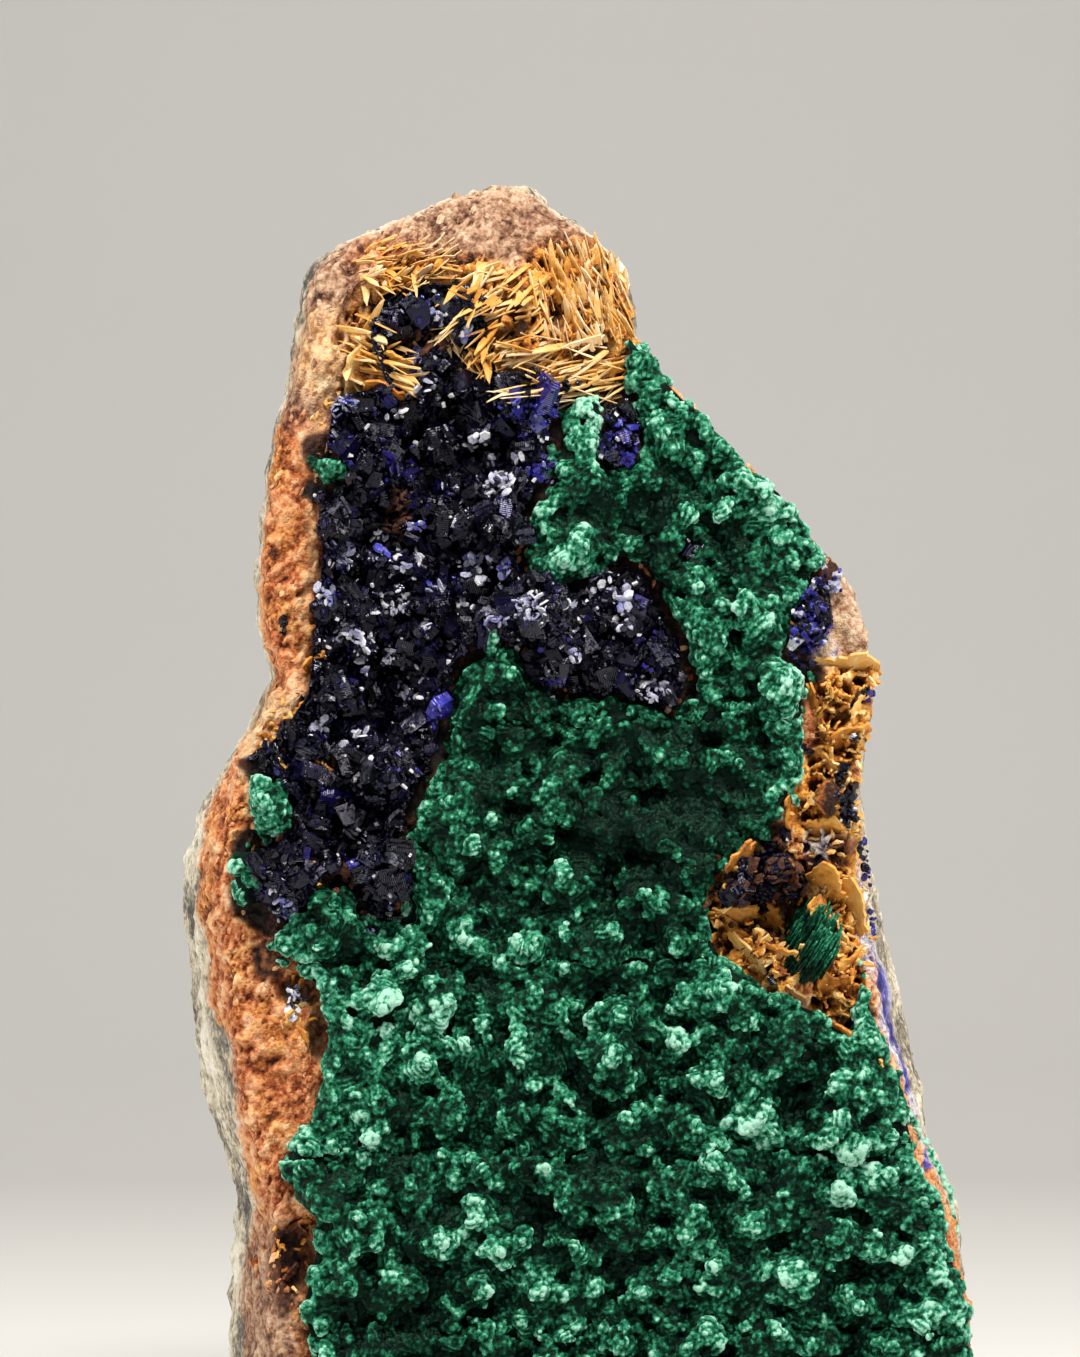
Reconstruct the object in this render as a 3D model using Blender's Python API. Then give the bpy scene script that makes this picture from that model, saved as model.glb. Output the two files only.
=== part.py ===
"""A standing azurite specimen, built in metres with +Z up and its front towards -Y.

A slab of iron-stained host rock, cut flat below, carries the minerals that grew in its open
front: a crust of blocky azurite crystals in the vug, a lumpy crust of malachite round and
below it, and a few small patches of both on the rim and in the right-hand pocket. Blades of
limonite stand out of the rock round the vug and are one solid with it.

Outlines are written in millimetres as they are seen from the front, (x, z), with z up from
the base. The origin is on the base's flat cut face.
"""

import random

import bmesh
import bpy
import numpy as np
from mathutils import Matrix, Vector, noise
from mathutils.geometry import delaunay_2d_cdt

MM = 0.001
HEIGHT = 202.0
GAP = 0.4  # between a crust and the rock that it grew on, measured from front to back
CRUST_ROOT = 4.0  # how far a crust is made into the rock before the rock is cut from it

# The rock seen from the front: height, left edge, right edge.
SILHOUETTE = (
    (0.0, -52.5, 57.5),
    (12.0, -54.0, 61.0),
    (29.0, -54.0, 61.0),
    (41.5, -53.5, 59.5),
    (47.5, -53.0, 58.5),
    (53.5, -55.0, 55.0),
    (60.0, -57.5, 54.5),
    (67.5, -59.0, 52.5),
    (84.5, -60.5, 49.0),
    (92.0, -61.5, 47.0),
    (100.0, -60.5, 45.5),
    (110.5, -57.0, 44.5),
    (115.0, -53.5, 44.5),
    (119.0, -51.0, 45.0),
    (126.0, -47.0, 46.5),
    (130.0, -48.5, 45.0),
    (134.5, -50.0, 44.5),
    (142.0, -50.0, 42.0),
    (146.0, -49.5, 37.5),
    (155.0, -48.5, 31.0),
    (160.0, -48.0, 25.0),
    (164.5, -47.5, 21.0),
    (169.0, -46.0, 17.0),
    (173.0, -44.5, 13.0),
    (177.5, -44.0, 10.0),
    (186.0, -43.0, 9.5),
    (190.0, -41.5, 8.5),
    (193.0, -38.0, 5.5),
    (195.5, -33.0, 2.5),
    (198.0, -25.0, -2.0),
    (200.0, -21.0, -3.0),
    (HEIGHT, -15.0, -6.0),
)

# The rock seen from the side: height, front, back, and how far the front face's left and
# right edges lie inside the silhouette.
PROFILE = (
    (0.0, 29.0, 29.0, 8.0, 3.0),
    (30.0, 30.0, 31.0, 8.0, 2.5),
    (60.0, 28.0, 31.0, 8.5, 5.0),
    (90.0, 26.0, 29.0, 8.0, 6.0),
    (110.0, 24.0, 28.0, 5.0, 2.5),
    (125.0, 22.0, 26.0, 3.0, 1.5),
    (150.0, 20.0, 23.0, 2.5, 1.0),
    (175.0, 17.0, 19.0, 3.0, 1.5),
    (190.0, 13.0, 14.0, 4.0, 2.5),
    (198.0, 9.0, 9.0, 4.0, 3.5),
    (HEIGHT, 4.0, 5.0, 1.5, 1.5),
)
LEVELS = 31
FRONT_POINTS = 19
SIDE_POINTS = 4
BACK_POINTS = 9
BACK_INSET = 7.0  # how far the back face's edges lie inside the silhouette
WIDEST_SHARE = 0.6  # where a side wall is widest, as a share of the way from front to back

# Where each mineral covers the front of the rock.
AZURITE_VUG = (
    (-36.5, 167.5), (-34.0, 169.0), (-28.5, 170.0), (-31.0, 177.5), (-30.5, 182.0),
    (-25.0, 185.5), (-18.5, 185.5), (-13.5, 179.5), (-13.5, 173.0), (-8.5, 170.0),
    (-1.5, 170.5), (-4.5, 163.0), (-5.0, 157.0), (-8.0, 152.0), (-10.0, 146.0),
    (-7.5, 139.5), (-1.5, 138.0), (4.0, 142.0), (9.5, 142.0), (14.0, 132.0),
    (16.0, 125.5), (14.0, 122.0), (3.5, 125.5), (-1.5, 124.5), (-5.5, 129.0),
    (-10.0, 133.0), (-15.0, 132.5), (-19.0, 128.0), (-21.5, 115.0), (-27.5, 103.0),
    (-26.5, 93.5), (-29.0, 90.5), (-31.5, 92.5), (-34.5, 97.0), (-39.0, 97.5),
    (-44.5, 92.0), (-46.5, 95.0), (-46.0, 101.0), (-42.0, 103.5), (-41.5, 108.0),
    (-44.0, 111.5), (-47.0, 115.0), (-43.0, 119.5), (-40.0, 124.0), (-38.0, 144.5),
    (-38.0, 153.0), (-32.5, 156.0), (-33.0, 159.5), (-37.5, 160.5),
)
MALACHITE = (
    (8.0, 175.0), (10.5, 177.5), (12.5, 176.0), (13.0, 172.0), (18.0, 166.5),
    (24.0, 158.5), (30.5, 154.0), (35.0, 147.5), (36.0, 144.0), (31.0, 135.5),
    (30.0, 129.0), (33.5, 125.5), (33.0, 112.0), (27.0, 102.5), (18.5, 95.0),
    (19.0, 88.5), (22.0, 83.5), (28.0, 79.5), (34.5, 77.0), (40.0, 73.0),
    (43.0, 79.5), (43.5, 75.0), (46.0, 68.5), (49.5, 61.0), (53.0, 53.0),
    (56.0, 49.0), (58.0, 33.0), (58.5, 21.0), (57.0, 10.5), (54.0, 4.5),
    (3.5, 3.0), (-34.0, 4.5), (-38.0, 12.0), (-38.0, 24.5), (-40.5, 33.0),
    (-37.5, 46.0), (-43.5, 53.0), (-41.5, 58.5), (-38.0, 62.0), (-36.0, 75.0),
    (-37.5, 79.5), (-44.5, 87.5), (-42.0, 90.5), (-38.0, 94.5), (-35.0, 95.0),
    (-32.0, 90.5), (-28.5, 88.0), (-24.5, 91.5), (-25.0, 101.5), (-19.0, 115.0),
    (-19.0, 121.0), (-16.5, 126.5), (-13.5, 130.0), (-10.5, 130.5), (-7.5, 127.0),
    (-2.5, 122.0), (4.0, 123.0), (15.0, 119.5), (18.5, 124.5), (17.0, 132.0),
    (11.0, 144.5), (3.5, 144.5), (-1.0, 140.5), (-5.5, 140.5), (-7.5, 146.0),
    (-6.0, 151.0), (-2.5, 156.0), (-2.0, 162.5), (0.5, 167.5), (3.0, 167.5),
    (4.0, 164.5), (3.0, 159.5), (5.0, 156.5), (9.0, 157.5), (10.8, 162.0),
    (9.5, 167.5), (8.0, 170.5),
)
BLUE_ROSETTE = (
    (4.5, 167.5), (7.5, 167.5), (9.2, 165.0), (9.4, 162.0), (8.3, 158.6), (5.5, 157.7),
    (4.0, 159.5), (4.7, 164.0),
)
RIM_TUFTS = {
    "malachite_tuft_upper": ((-38.6, 159.3), (-35.0, 159.1), (-34.2, 157.1), (-38.4, 156.3)),
    "malachite_tuft_middle": (
        (-48.0, 111.0), (-45.0, 110.5), (-42.9, 107.8), (-43.0, 104.5), (-46.5, 103.0),
        (-48.5, 106.0),
    ),
    "malachite_tuft_lower": (
        (-51.0, 100.5), (-48.0, 100.3), (-47.2, 96.5), (-48.3, 92.5), (-50.5, 94.0),
    ),
}
AZURITE_PATCHES = {
    "azurite_edge_patch": (
        (34.3, 139.5), (35.6, 141.5), (37.5, 141.0), (38.0, 136.5), (36.5, 132.0),
        (34.5, 129.5), (32.3, 131.0), (32.6, 135.2),
    ),
    "azurite_pocket_patch": (
        (22.0, 98.0), (25.0, 99.5), (29.0, 101.0), (33.5, 98.0), (34.5, 95.0),
        (32.0, 92.5), (27.5, 94.5), (24.0, 92.0), (22.0, 94.5),
    ),
}

# Where limonite blades stand out of the rock.
BOXWORK_TOP = (
    (-38.0, 187.0), (-30.0, 191.0), (-24.0, 195.0), (-12.0, 192.0), (-2.0, 192.0),
    (7.5, 186.0), (8.0, 178.0), (5.0, 171.5), (-10.0, 172.5), (-12.5, 180.0),
    (-18.0, 187.0), (-25.5, 187.0), (-32.0, 182.5), (-32.5, 177.0), (-30.0, 171.5),
    (-37.0, 170.0),
)
BOXWORK_RIGHT = (
    (38.5, 141.0), (40.5, 136.0), (41.5, 126.0), (40.5, 116.0), (39.5, 106.0),
    (39.5, 96.0), (40.0, 86.0), (39.0, 78.0), (34.0, 79.0), (26.0, 82.0),
    (21.5, 87.0), (20.5, 91.0), (26.0, 91.0), (36.0, 91.0), (36.0, 99.0),
    (31.0, 103.5), (35.5, 113.0), (36.0, 127.0),
)
# Each field of blades: outline, spacing, droop, lengths, widths, and the thickness and the
# tip's width as shares of the width.
BOXWORK = (
    (BOXWORK_TOP, 5.2, -0.5, (7.0, 12.0), (3.0, 5.2), 0.34, 0.25),
    (BOXWORK_RIGHT, 5.6, -0.1, (5.0, 7.5), (5.0, 8.5), 0.2, 0.7),
)
POCKET = ((24.0, 97.0), (32.0, 99.0), (37.0, 93.0), (35.0, 85.0), (27.0, 84.0), (22.5, 90.0))

# How deep each zone's floor lies behind the front face, and how wide the slope into it is.
VUG_DEPTH, VUG_SLOPE = 9.0, 7.5
MALACHITE_DEPTH, MALACHITE_SLOPE = 3.5, 5.0
POCKET_DEPTH, POCKET_SLOPE = 6.0, 5.0

MALACHITE_PITCH = 9.6  # from one lump to the next
MALACHITE_SKIN = 1.8  # the crust's thickness in the creases between lumps
MALACHITE_LUMPS = (4.4, 7.6)  # the thickness at a lump's crown, least and most
AZURITE_SKIN = 2.4  # the azurite crust's thickness between its crystals
CRYSTAL_PITCH = 7.5
CRYSTAL_SIZE = (6.2, 9.8)


def clear_scene():
    for obj in list(bpy.data.objects):
        bpy.data.objects.remove(obj)


def material(name, colour, roughness):
    made = bpy.data.materials.new(name)
    made.use_nodes = True
    shader = made.node_tree.nodes["Principled BSDF"]
    shader.inputs["Base Color"].default_value = (*colour, 1.0)
    shader.inputs["Roughness"].default_value = roughness
    shader.inputs["Metallic"].default_value = 0.0
    made.diffuse_color = (*colour, 1.0)
    return made


def read_table(table, z):
    """One row of a table whose first column is the height, at a height between its rows."""
    columns = np.array(table).T
    return [float(np.interp(z, columns[0], column)) for column in columns[1:]]


def smooth(share):
    share = min(max(share, 0.0), 1.0)
    return share * share * (3.0 - 2.0 * share)


def depth_inside(outline, x, z):
    """How far a point lies inside a closed outline, in mm. It is negative outside."""
    corners = np.array(outline)
    ends = np.roll(corners, -1, axis=0)
    edges = ends - corners
    to_point = np.array((x, z)) - corners
    along = np.clip((to_point * edges).sum(1) / (edges * edges).sum(1), 0.0, 1.0)
    nearest = np.sqrt(((to_point - along[:, None] * edges) ** 2).sum(1)).min()
    above = corners[:, 1] > z
    crosses = above != (ends[:, 1] > z)
    rise = np.where(crosses, edges[:, 1], 1.0)
    at_x = corners[:, 0] + (z - corners[:, 1]) * edges[:, 0] / rise
    inside = np.count_nonzero(crosses & (x < at_x)) % 2 == 1
    return float(nearest if inside else -nearest)


def resampled(outline, spacing):
    """The outline with its long sides divided, so that no two points are far apart."""
    points = []
    for start, end in zip(outline, outline[1:] + outline[:1]):
        start, end = Vector(start), Vector(end)
        count = max(1, round((end - start).length / spacing))
        points += [tuple(start.lerp(end, i / count)) for i in range(count)]
    return points


def on_front_face(outline):
    """The outline drawn in where it would hang over the left or right edge of the front face."""
    points = []
    for x, z in outline:
        left, right = read_table(SILHOUETTE, z)
        _, _, left_inset, right_inset = read_table(PROFILE, z)
        points.append((min(max(x, left + left_inset + 0.5), right - right_inset - 0.5), z))
    return points


def roughness_at(x, y, z, size):
    """Smooth noise from about -1 to 1, with bumps about this size in mm."""
    return noise.noise(Vector((x, y, z)) / size)


def front_height(x, z):
    """How far the bare rock's front face stands in front of the middle plane, in mm."""
    front = read_table(PROFILE, z)[0]
    vug = smooth(depth_inside(AZURITE_VUG, x, z) / VUG_SLOPE)
    green = smooth(depth_inside(MALACHITE, x, z) / MALACHITE_SLOPE)
    pocket = smooth(depth_inside(POCKET, x, z) / POCKET_SLOPE)
    bare = 1.0 - max(vug, green)
    lumps = 1.5 * roughness_at(x, 3.0, z, 19.0) + (0.3 + 0.9 * bare) * roughness_at(x, 9.0, z, 7.0)
    floor = VUG_DEPTH * vug + MALACHITE_DEPTH * green + POCKET_DEPTH * pocket
    return front + lumps - floor


def side_inset(share, front_inset):
    """How far a side wall lies inside the silhouette, from its front edge (0) to its back (1)."""
    if share < WIDEST_SHARE:
        return front_inset * (1.0 - share / WIDEST_SHARE) ** 1.5
    return BACK_INSET * ((share - WIDEST_SHARE) / (1.0 - WIDEST_SHARE)) ** 2


def broken(x, y, z):
    """Inward steps between the broken facets of the rock's sides and back, in mm."""
    return 6.5 * noise.voronoi(Vector((x, y, z)) / 21.0)[0][0]


def back_depth(x, z):
    """How far the rock's back stands behind the middle plane, in mm."""
    left, right = read_table(SILHOUETTE, z)
    back = read_table(PROFILE, z)[1]
    share = min(max((x - left) / (right - left), 0.0), 1.0)
    bulge = 4.0 * (1.0 - (2.0 * share - 1.0) ** 2) + 1.0
    return back + bulge - min(1.0, back / 20.0) * broken(x, 50.0, z)


def wandering(z, slot):
    """The height of one point of a level. Levels rise and fall, but not at the two ends."""
    room = min(1.0, z / 12.0, (HEIGHT - z) / 10.0)
    return z + 2.6 * room * roughness_at(3.1 * slot, 0.0, z, 9.0)


def side_wall(z, slot, side):
    """A side wall's points at one height, from front to back. side is 0 at left, 1 at right."""
    points = []
    for i in range(1, SIDE_POINTS + 1):
        height = wandering(z, slot + i)
        edge = read_table(SILHOUETTE, height)[side]
        _, _, *insets = read_table(PROFILE, height)
        inward = -1.0 if side else 1.0
        share = i / (SIDE_POINTS + 1)
        front_y = -front_height(edge + inward * insets[side], height)
        back_y = back_depth(edge + inward * BACK_INSET, height)
        y = front_y + share * (back_y - front_y)
        inset = side_inset(share, insets[side])
        if share < WIDEST_SHARE:
            inset += 0.35 * broken(edge, y, height) * share / WIDEST_SHARE
        elif share > WIDEST_SHARE:
            inset += 0.6 * broken(edge, y, height)
        points.append((edge + inward * inset, y, height))
    return points


def rock_level(z):
    """The rock's outline at one height, as points that run round it."""
    front = []
    for slot, share in enumerate(np.linspace(0.0, 1.0, FRONT_POINTS)):
        height = wandering(z, slot)
        left, right = read_table(SILHOUETTE, height)
        _, _, left_inset, right_inset = read_table(PROFILE, height)
        x = left + left_inset + share * (right - right_inset - left - left_inset)
        front.append((x, -front_height(x, height), height))
    rear = []
    for slot, share in enumerate(np.linspace(1.0, 0.0, BACK_POINTS)):
        height = wandering(z, slot + 50)
        left, right = read_table(SILHOUETTE, height)
        inset = min(BACK_INSET, 0.3 * (right - left))
        x = left + inset + share * (right - left - 2.0 * inset)
        rear.append((x, back_depth(x, height), height))
    return front + side_wall(z, 30, 1) + rear + side_wall(z, 70, 0)[::-1]


def rock_mesh():
    """The host rock: one ring of edges drawn upwards level by level, and closed at both ends."""
    bm = bmesh.new()
    shares = np.linspace(0.0, 1.0, LEVELS)
    heights = HEIGHT * (1.0 - (1.0 - shares) ** 1.18)
    ring = [bm.verts.new(Vector(point) * MM) for point in rock_level(0.0)]
    edges = [bm.edges.new((a, b)) for a, b in zip(ring, ring[1:] + ring[:1])]
    bmesh.ops.contextual_create(bm, geom=edges)
    for z in heights[1:]:
        drawn = bmesh.ops.extrude_edge_only(bm, edges=edges)["geom"]
        edges = [item for item in drawn if isinstance(item, bmesh.types.BMEdge)]
        above = {}
        for vert in ring:
            for edge in vert.link_edges:
                other = edge.other_vert(vert)
                if other in drawn and other not in above.values():
                    above[vert] = other
        ring = [above[vert] for vert in ring]
        for vert, point in zip(ring, rock_level(float(z))):
            vert.co = Vector(point) * MM
        edges = [edge for edge in edges if all(vert in ring for vert in edge.verts)]
    bmesh.ops.contextual_create(bm, geom=edges)
    bmesh.ops.triangulate(bm, faces=bm.faces)
    bmesh.ops.recalc_face_normals(bm, faces=bm.faces)
    return finished_mesh(bm, "limonite_rock")


def finished_mesh(bm, name):
    mesh = bpy.data.meshes.new(name)
    bm.to_mesh(mesh)
    bm.free()
    return mesh


def place(name, mesh, finish):
    obj = bpy.data.objects.new(name, mesh)
    bpy.context.scene.collection.objects.link(obj)
    if finish:
        mesh.materials.clear()
        mesh.materials.append(finish)
    return obj


def boolean(obj, operation, other):
    """Joins or cuts obj with another object's solid, which may hold shapes that overlap."""
    modifier = obj.modifiers.new(operation.lower(), "BOOLEAN")
    modifier.operation = operation
    modifier.object = other
    modifier.use_self = operation == "UNION"


def apply_modifiers(obj):
    bpy.context.view_layer.update()
    graph = bpy.context.evaluated_depsgraph_get()
    mesh = bpy.data.meshes.new_from_object(obj.evaluated_get(graph))
    obj.modifiers.clear()
    obj.data = mesh


def keep_largest_body(obj):
    """Drops the crumbs that a cut leaves, so that the solid is one closed body."""
    bm = bmesh.new()
    bm.from_mesh(obj.data)
    bmesh.ops.triangulate(bm, faces=bm.faces)
    unseen = set(bm.verts)
    bodies = []
    while unseen:
        body, front = set(), [unseen.pop()]
        while front:
            vert = front.pop()
            body.add(vert)
            for edge in vert.link_edges:
                other = edge.other_vert(vert)
                if other in unseen:
                    unseen.remove(other)
                    front.append(other)
        bodies.append(body)
    largest = max(bodies, key=len)
    crumbs = [vert for body in bodies if body is not largest for vert in body]
    bmesh.ops.delete(bm, geom=crumbs, context="VERTS")
    bm.to_mesh(obj.data)
    bm.free()


def crust_solid(name, outline, points, skin):
    """A crust as a closed solid that starts inside the rock. Points are (x, z, thickness)."""
    flat = [Vector(corner) for corner in outline] + [Vector((x, z)) for x, z, _ in points]
    thickness = [skin] * len(outline) + [deep for _, _, deep in points]
    border = [list(range(len(outline)))]
    corners, _, triangles, sources, _, _ = delaunay_2d_cdt(flat, [], border, 1, 1e-4)
    bm = bmesh.new()
    roots = []
    for corner in corners:
        y = CRUST_ROOT - front_height(corner.x, corner.y)
        roots.append(bm.verts.new(Vector((corner.x, y, corner.y)) * MM))
    faces = [bm.faces.new([roots[i] for i in triangle]) for triangle in triangles]
    front = {root: CRUST_ROOT + thickness[source[0]] for root, source in zip(roots, sources)}
    deep = {tuple(root.co): height for root, height in front.items()}
    drawn = bmesh.ops.extrude_face_region(bm, geom=faces)["geom"]
    for vert in [item for item in drawn if isinstance(item, bmesh.types.BMVert)]:
        vert.co.y -= deep[tuple(vert.co)] * MM
    bmesh.ops.recalc_face_normals(bm, faces=bm.faces)
    return place(name, finished_mesh(bm, name), None)


def lattice(outline, pitch, jitter, rng):
    """Points about one pitch apart, in staggered rows over an outline's box."""
    corners = np.array(outline)
    low, high = corners.min(0), corners.max(0)
    row = 0
    z = low[1]
    while z < high[1]:
        x = low[0] + (0.5 * pitch if row % 2 else 0.0)
        while x < high[0] + pitch:
            yield (
                x + rng.uniform(-jitter, jitter) * pitch,
                z + rng.uniform(-jitter, jitter) * pitch,
            )
            x += pitch
        z += 0.866 * pitch
        row += 1


def lump_points(outline, pitch, crowns, skin, rng):
    """Domes in staggered rows: a crown, a ring of shoulders, and creases between domes."""
    margin = 0.24 * pitch
    centres = [p for p in lattice(outline, pitch, 0.22, rng) if depth_inside(outline, *p) > margin]
    centres = centres or [tuple(np.mean(outline, axis=0))]
    points = []
    for x, z in centres:
        swell = 1.0 + 0.35 * roughness_at(x, 20.0, z, 24.0)
        crown = rng.uniform(*crowns) * swell
        points.append((x, z, crown))
        turn = rng.uniform(0.0, 60.0)
        for i in range(5):
            spoke = Matrix.Rotation(np.radians(turn + 72.0 * i), 2) @ Vector((0.33 * pitch, 0.0))
            if depth_inside(outline, x + spoke.x, z + spoke.y) > 0.8:
                points.append((x + spoke.x, z + spoke.y, skin + 0.8 * (crown - skin)))
    flat = [Vector(centre) for centre in centres]
    corners, edges, triangles, _, _, _ = delaunay_2d_cdt(flat, [], [], 0, 1e-4)
    for group in list(edges) + list(triangles):
        spread = max((corners[i] - corners[group[0]]).length for i in group)
        middle = sum((corners[i] for i in group), Vector((0.0, 0.0))) / len(group)
        if spread < 1.5 * pitch and depth_inside(outline, *middle) > 1.2:
            points.append((*middle, skin))
    return points


def add_crystal(bm, centre, size, rng):
    """One blocky azurite crystal: a six-sided tablet, narrower at one end, turned at random."""
    turned = Matrix.Rotation(rng.uniform(0.0, 2.0 * np.pi), 4, "Y")
    tipped = Matrix.Rotation(rng.uniform(-1.1, 1.1), 4, "X")
    rolled = Matrix.Rotation(rng.uniform(0.0, np.pi), 4, "Z")
    shape = Matrix.Diagonal((rng.uniform(1.0, 1.35), rng.uniform(0.8, 1.0), 1.0, 1.0))
    bmesh.ops.create_cone(
        bm,
        cap_ends=True,
        segments=rng.choice((4, 4, 5, 6)),
        radius1=0.55 * size * MM,
        radius2=0.38 * size * MM,
        depth=rng.uniform(0.65, 0.95) * size * MM,
        matrix=Matrix.Translation(Vector(centre) * MM) @ turned @ tipped @ rolled @ shape,
    )


def grown(outline, amount):
    """The outline moved outwards. Its points run either way round."""
    ahead = outline[1:] + outline[:1]
    behind = outline[-1:] + outline[:-1]
    turn = sum(a[0] * b[1] - b[0] * a[1] for a, b in zip(outline, ahead))
    points = []
    for before, corner, after in zip(behind, outline, ahead):
        along = (Vector(corner) - Vector(before)).normalized()
        along += (Vector(after) - Vector(corner)).normalized()
        outward = Vector((along.y, -along.x)).normalized() * (1.0 if turn > 0.0 else -1.0)
        points.append(tuple(Vector(corner) + amount * outward))
    return points


def clear_of(crust, outline, spare):
    """Cuts away what hangs over a neighbour's outline. Returns the hidden cutter."""
    bm = bmesh.new()
    corners = [bm.verts.new(Vector((x, 60.0, z)) * MM) for x, z in grown(outline, spare)]
    face = bm.faces.new(corners)
    drawn = bmesh.ops.extrude_face_region(bm, geom=[face])["geom"]
    moved = [item for item in drawn if isinstance(item, bmesh.types.BMVert)]
    bmesh.ops.translate(bm, verts=moved, vec=(0.0, -120.0 * MM, 0.0))
    bmesh.ops.recalc_face_normals(bm, faces=bm.faces)
    cutter = place("neighbour", finished_mesh(bm, "neighbour"), None)
    boolean(crust, "DIFFERENCE", cutter)
    return cutter


def azurite_crust(name, outline, clearance, finish, seed, sizes, pitch):
    """Azurite crystals grown together on a crust, cut clear of the rock and of the malachite."""
    rng = random.Random(seed)
    outline = on_front_face(outline)
    floor = [
        (x, z, AZURITE_SKIN)
        for x, z in lattice(outline, 7.0, 0.1, rng)
        if depth_inside(outline, x, z) > 2.0
    ]
    crust = crust_solid(name, outline, floor, AZURITE_SKIN)
    bm = bmesh.new()
    for x, z in lattice(outline, pitch, 0.22, rng):
        size = rng.uniform(*sizes)
        if depth_inside(outline, x, z) > 0.2 * size:
            raised = AZURITE_SKIN + 0.16 * size
            add_crystal(bm, (x, -(front_height(x, z) + raised), z), size, rng)
    crystals = place(name + "_crystals", finished_mesh(bm, "crystals"), None)
    boolean(crust, "UNION", crystals)
    boolean(crust, "DIFFERENCE", clearance)
    greens = [on_front_face(green) for green in (MALACHITE, *RIM_TUFTS.values())]
    cutters = [clear_of(crust, green, GAP) for green in greens]
    return finish_crust(crust, finish, crystals, *cutters)


def malachite_crust(name, outline, clearance, finish, seed, pitch, crowns):
    """A crust of round malachite lumps, cut clear of the rock behind."""
    rng = random.Random(seed)
    outline = resampled(on_front_face(outline), 5.5)
    points = lump_points(outline, pitch, crowns, MALACHITE_SKIN, rng)
    crust = crust_solid(name, outline, points, MALACHITE_SKIN)
    boolean(crust, "DIFFERENCE", clearance)
    return finish_crust(crust, finish)


def finish_crust(crust, finish, *helpers):
    apply_modifiers(crust)
    keep_largest_body(crust)
    crust.data.materials.clear()
    crust.data.materials.append(finish)
    for helper in helpers:
        bpy.data.objects.remove(helper)
    return crust


def add_blade(bm, root, direction, length, width, thick, tip, roll):
    """One limonite blade: a flat four-sided spike or wall whose foot is sunk in the rock."""
    heading = Vector(direction).normalized().to_track_quat("Z", "Y").to_matrix().to_4x4()
    flat = Matrix.Diagonal((1.0, thick / width, 1.0, 1.0))
    raised = Matrix.Translation((0.0, 0.0, 0.28 * length * MM))
    bmesh.ops.create_cone(
        bm,
        cap_ends=True,
        segments=4,
        radius1=0.5 * width * MM,
        radius2=0.5 * tip * width * MM,
        depth=length * MM,
        matrix=Matrix.Translation(Vector(root) * MM)
        @ heading
        @ Matrix.Rotation(roll, 4, "Z")
        @ flat
        @ raised,
    )


def blades_mesh(grown):
    """The blades round the vug and in the right-hand pocket, each thicker by grown on all sides."""
    rng = random.Random(11)
    bm = bmesh.new()
    for outline, pitch, droop, lengths, widths, flatness, tip in BOXWORK:
        for x, z in lattice(outline, pitch, 0.3, rng):
            heading = (rng.uniform(-1.0, 1.0), -0.75, droop + rng.uniform(-0.6, 0.6))
            length = rng.uniform(*lengths)
            width = rng.uniform(*widths)
            roll = rng.uniform(0.0, np.pi)
            if depth_inside(outline, x, z) < 0.6:
                continue
            root = (x, -front_height(x, z) + 0.6, z)
            thick = flatness * width + 2.0 * grown
            length, width = length + 3.0 * grown, width + 3.0 * grown
            add_blade(bm, root, heading, length, width, thick, tip, roll)
    return finished_mesh(bm, "blades")


def main():
    clear_scene()
    limonite = material("limonite", (0.55, 0.30, 0.14), 0.85)
    azurite = material("azurite", (0.02, 0.03, 0.22), 0.15)
    malachite = material("malachite", (0.03, 0.30, 0.16), 0.55)

    rock = place("limonite_rock", rock_mesh(), limonite)
    clearance = place("clearance", rock.data.copy(), None)
    clearance.data.transform(Matrix.Translation((0.0, -GAP * MM, 0.0)))
    for solid, grown in ((rock, 0.0), (clearance, GAP)):
        blades = place("blades", blades_mesh(grown), None)
        boolean(solid, "UNION", blades)
        apply_modifiers(solid)
        keep_largest_body(solid)
        bpy.data.objects.remove(blades)
    rock.data.materials.clear()
    rock.data.materials.append(limonite)

    azurite_crust(
        "azurite_crystals", AZURITE_VUG, clearance, azurite, 3, CRYSTAL_SIZE, CRYSTAL_PITCH
    )
    azurite_crust("azurite_rosette", BLUE_ROSETTE, clearance, azurite, 5, (2.8, 4.0), 2.8)
    for seed, (name, outline) in enumerate(AZURITE_PATCHES.items(), 20):
        azurite_crust(name, outline, clearance, azurite, seed, (3.0, 4.6), 3.8)
    malachite_crust(
        "malachite_crust", MALACHITE, clearance, malachite, 7, MALACHITE_PITCH, MALACHITE_LUMPS
    )
    for seed, (name, outline) in enumerate(RIM_TUFTS.items(), 30):
        malachite_crust(name, outline, clearance, malachite, seed, 3.6, (2.6, 3.6))
    bpy.data.objects.remove(clearance)


main()
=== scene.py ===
# %% [markdown]
# # A standing azurite and malachite specimen
# The solids give the rock, its vug and the two mineral crusts. This lesson dresses them: a
# crumbly iron-stained rock, limonite blades, blocky azurite crystals and malachite lumps.
# Real rock has detail at every size, so each step makes one size of detail, from the large
# broken faces down to the grain that only bump can carry.

# %% Load the frame
import math
import random

import bmesh
import bpy
import numpy as np
from mathutils import Matrix, Vector, noise
from mathutils.bvhtree import BVHTree
from mathutils.kdtree import KDTree


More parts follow.
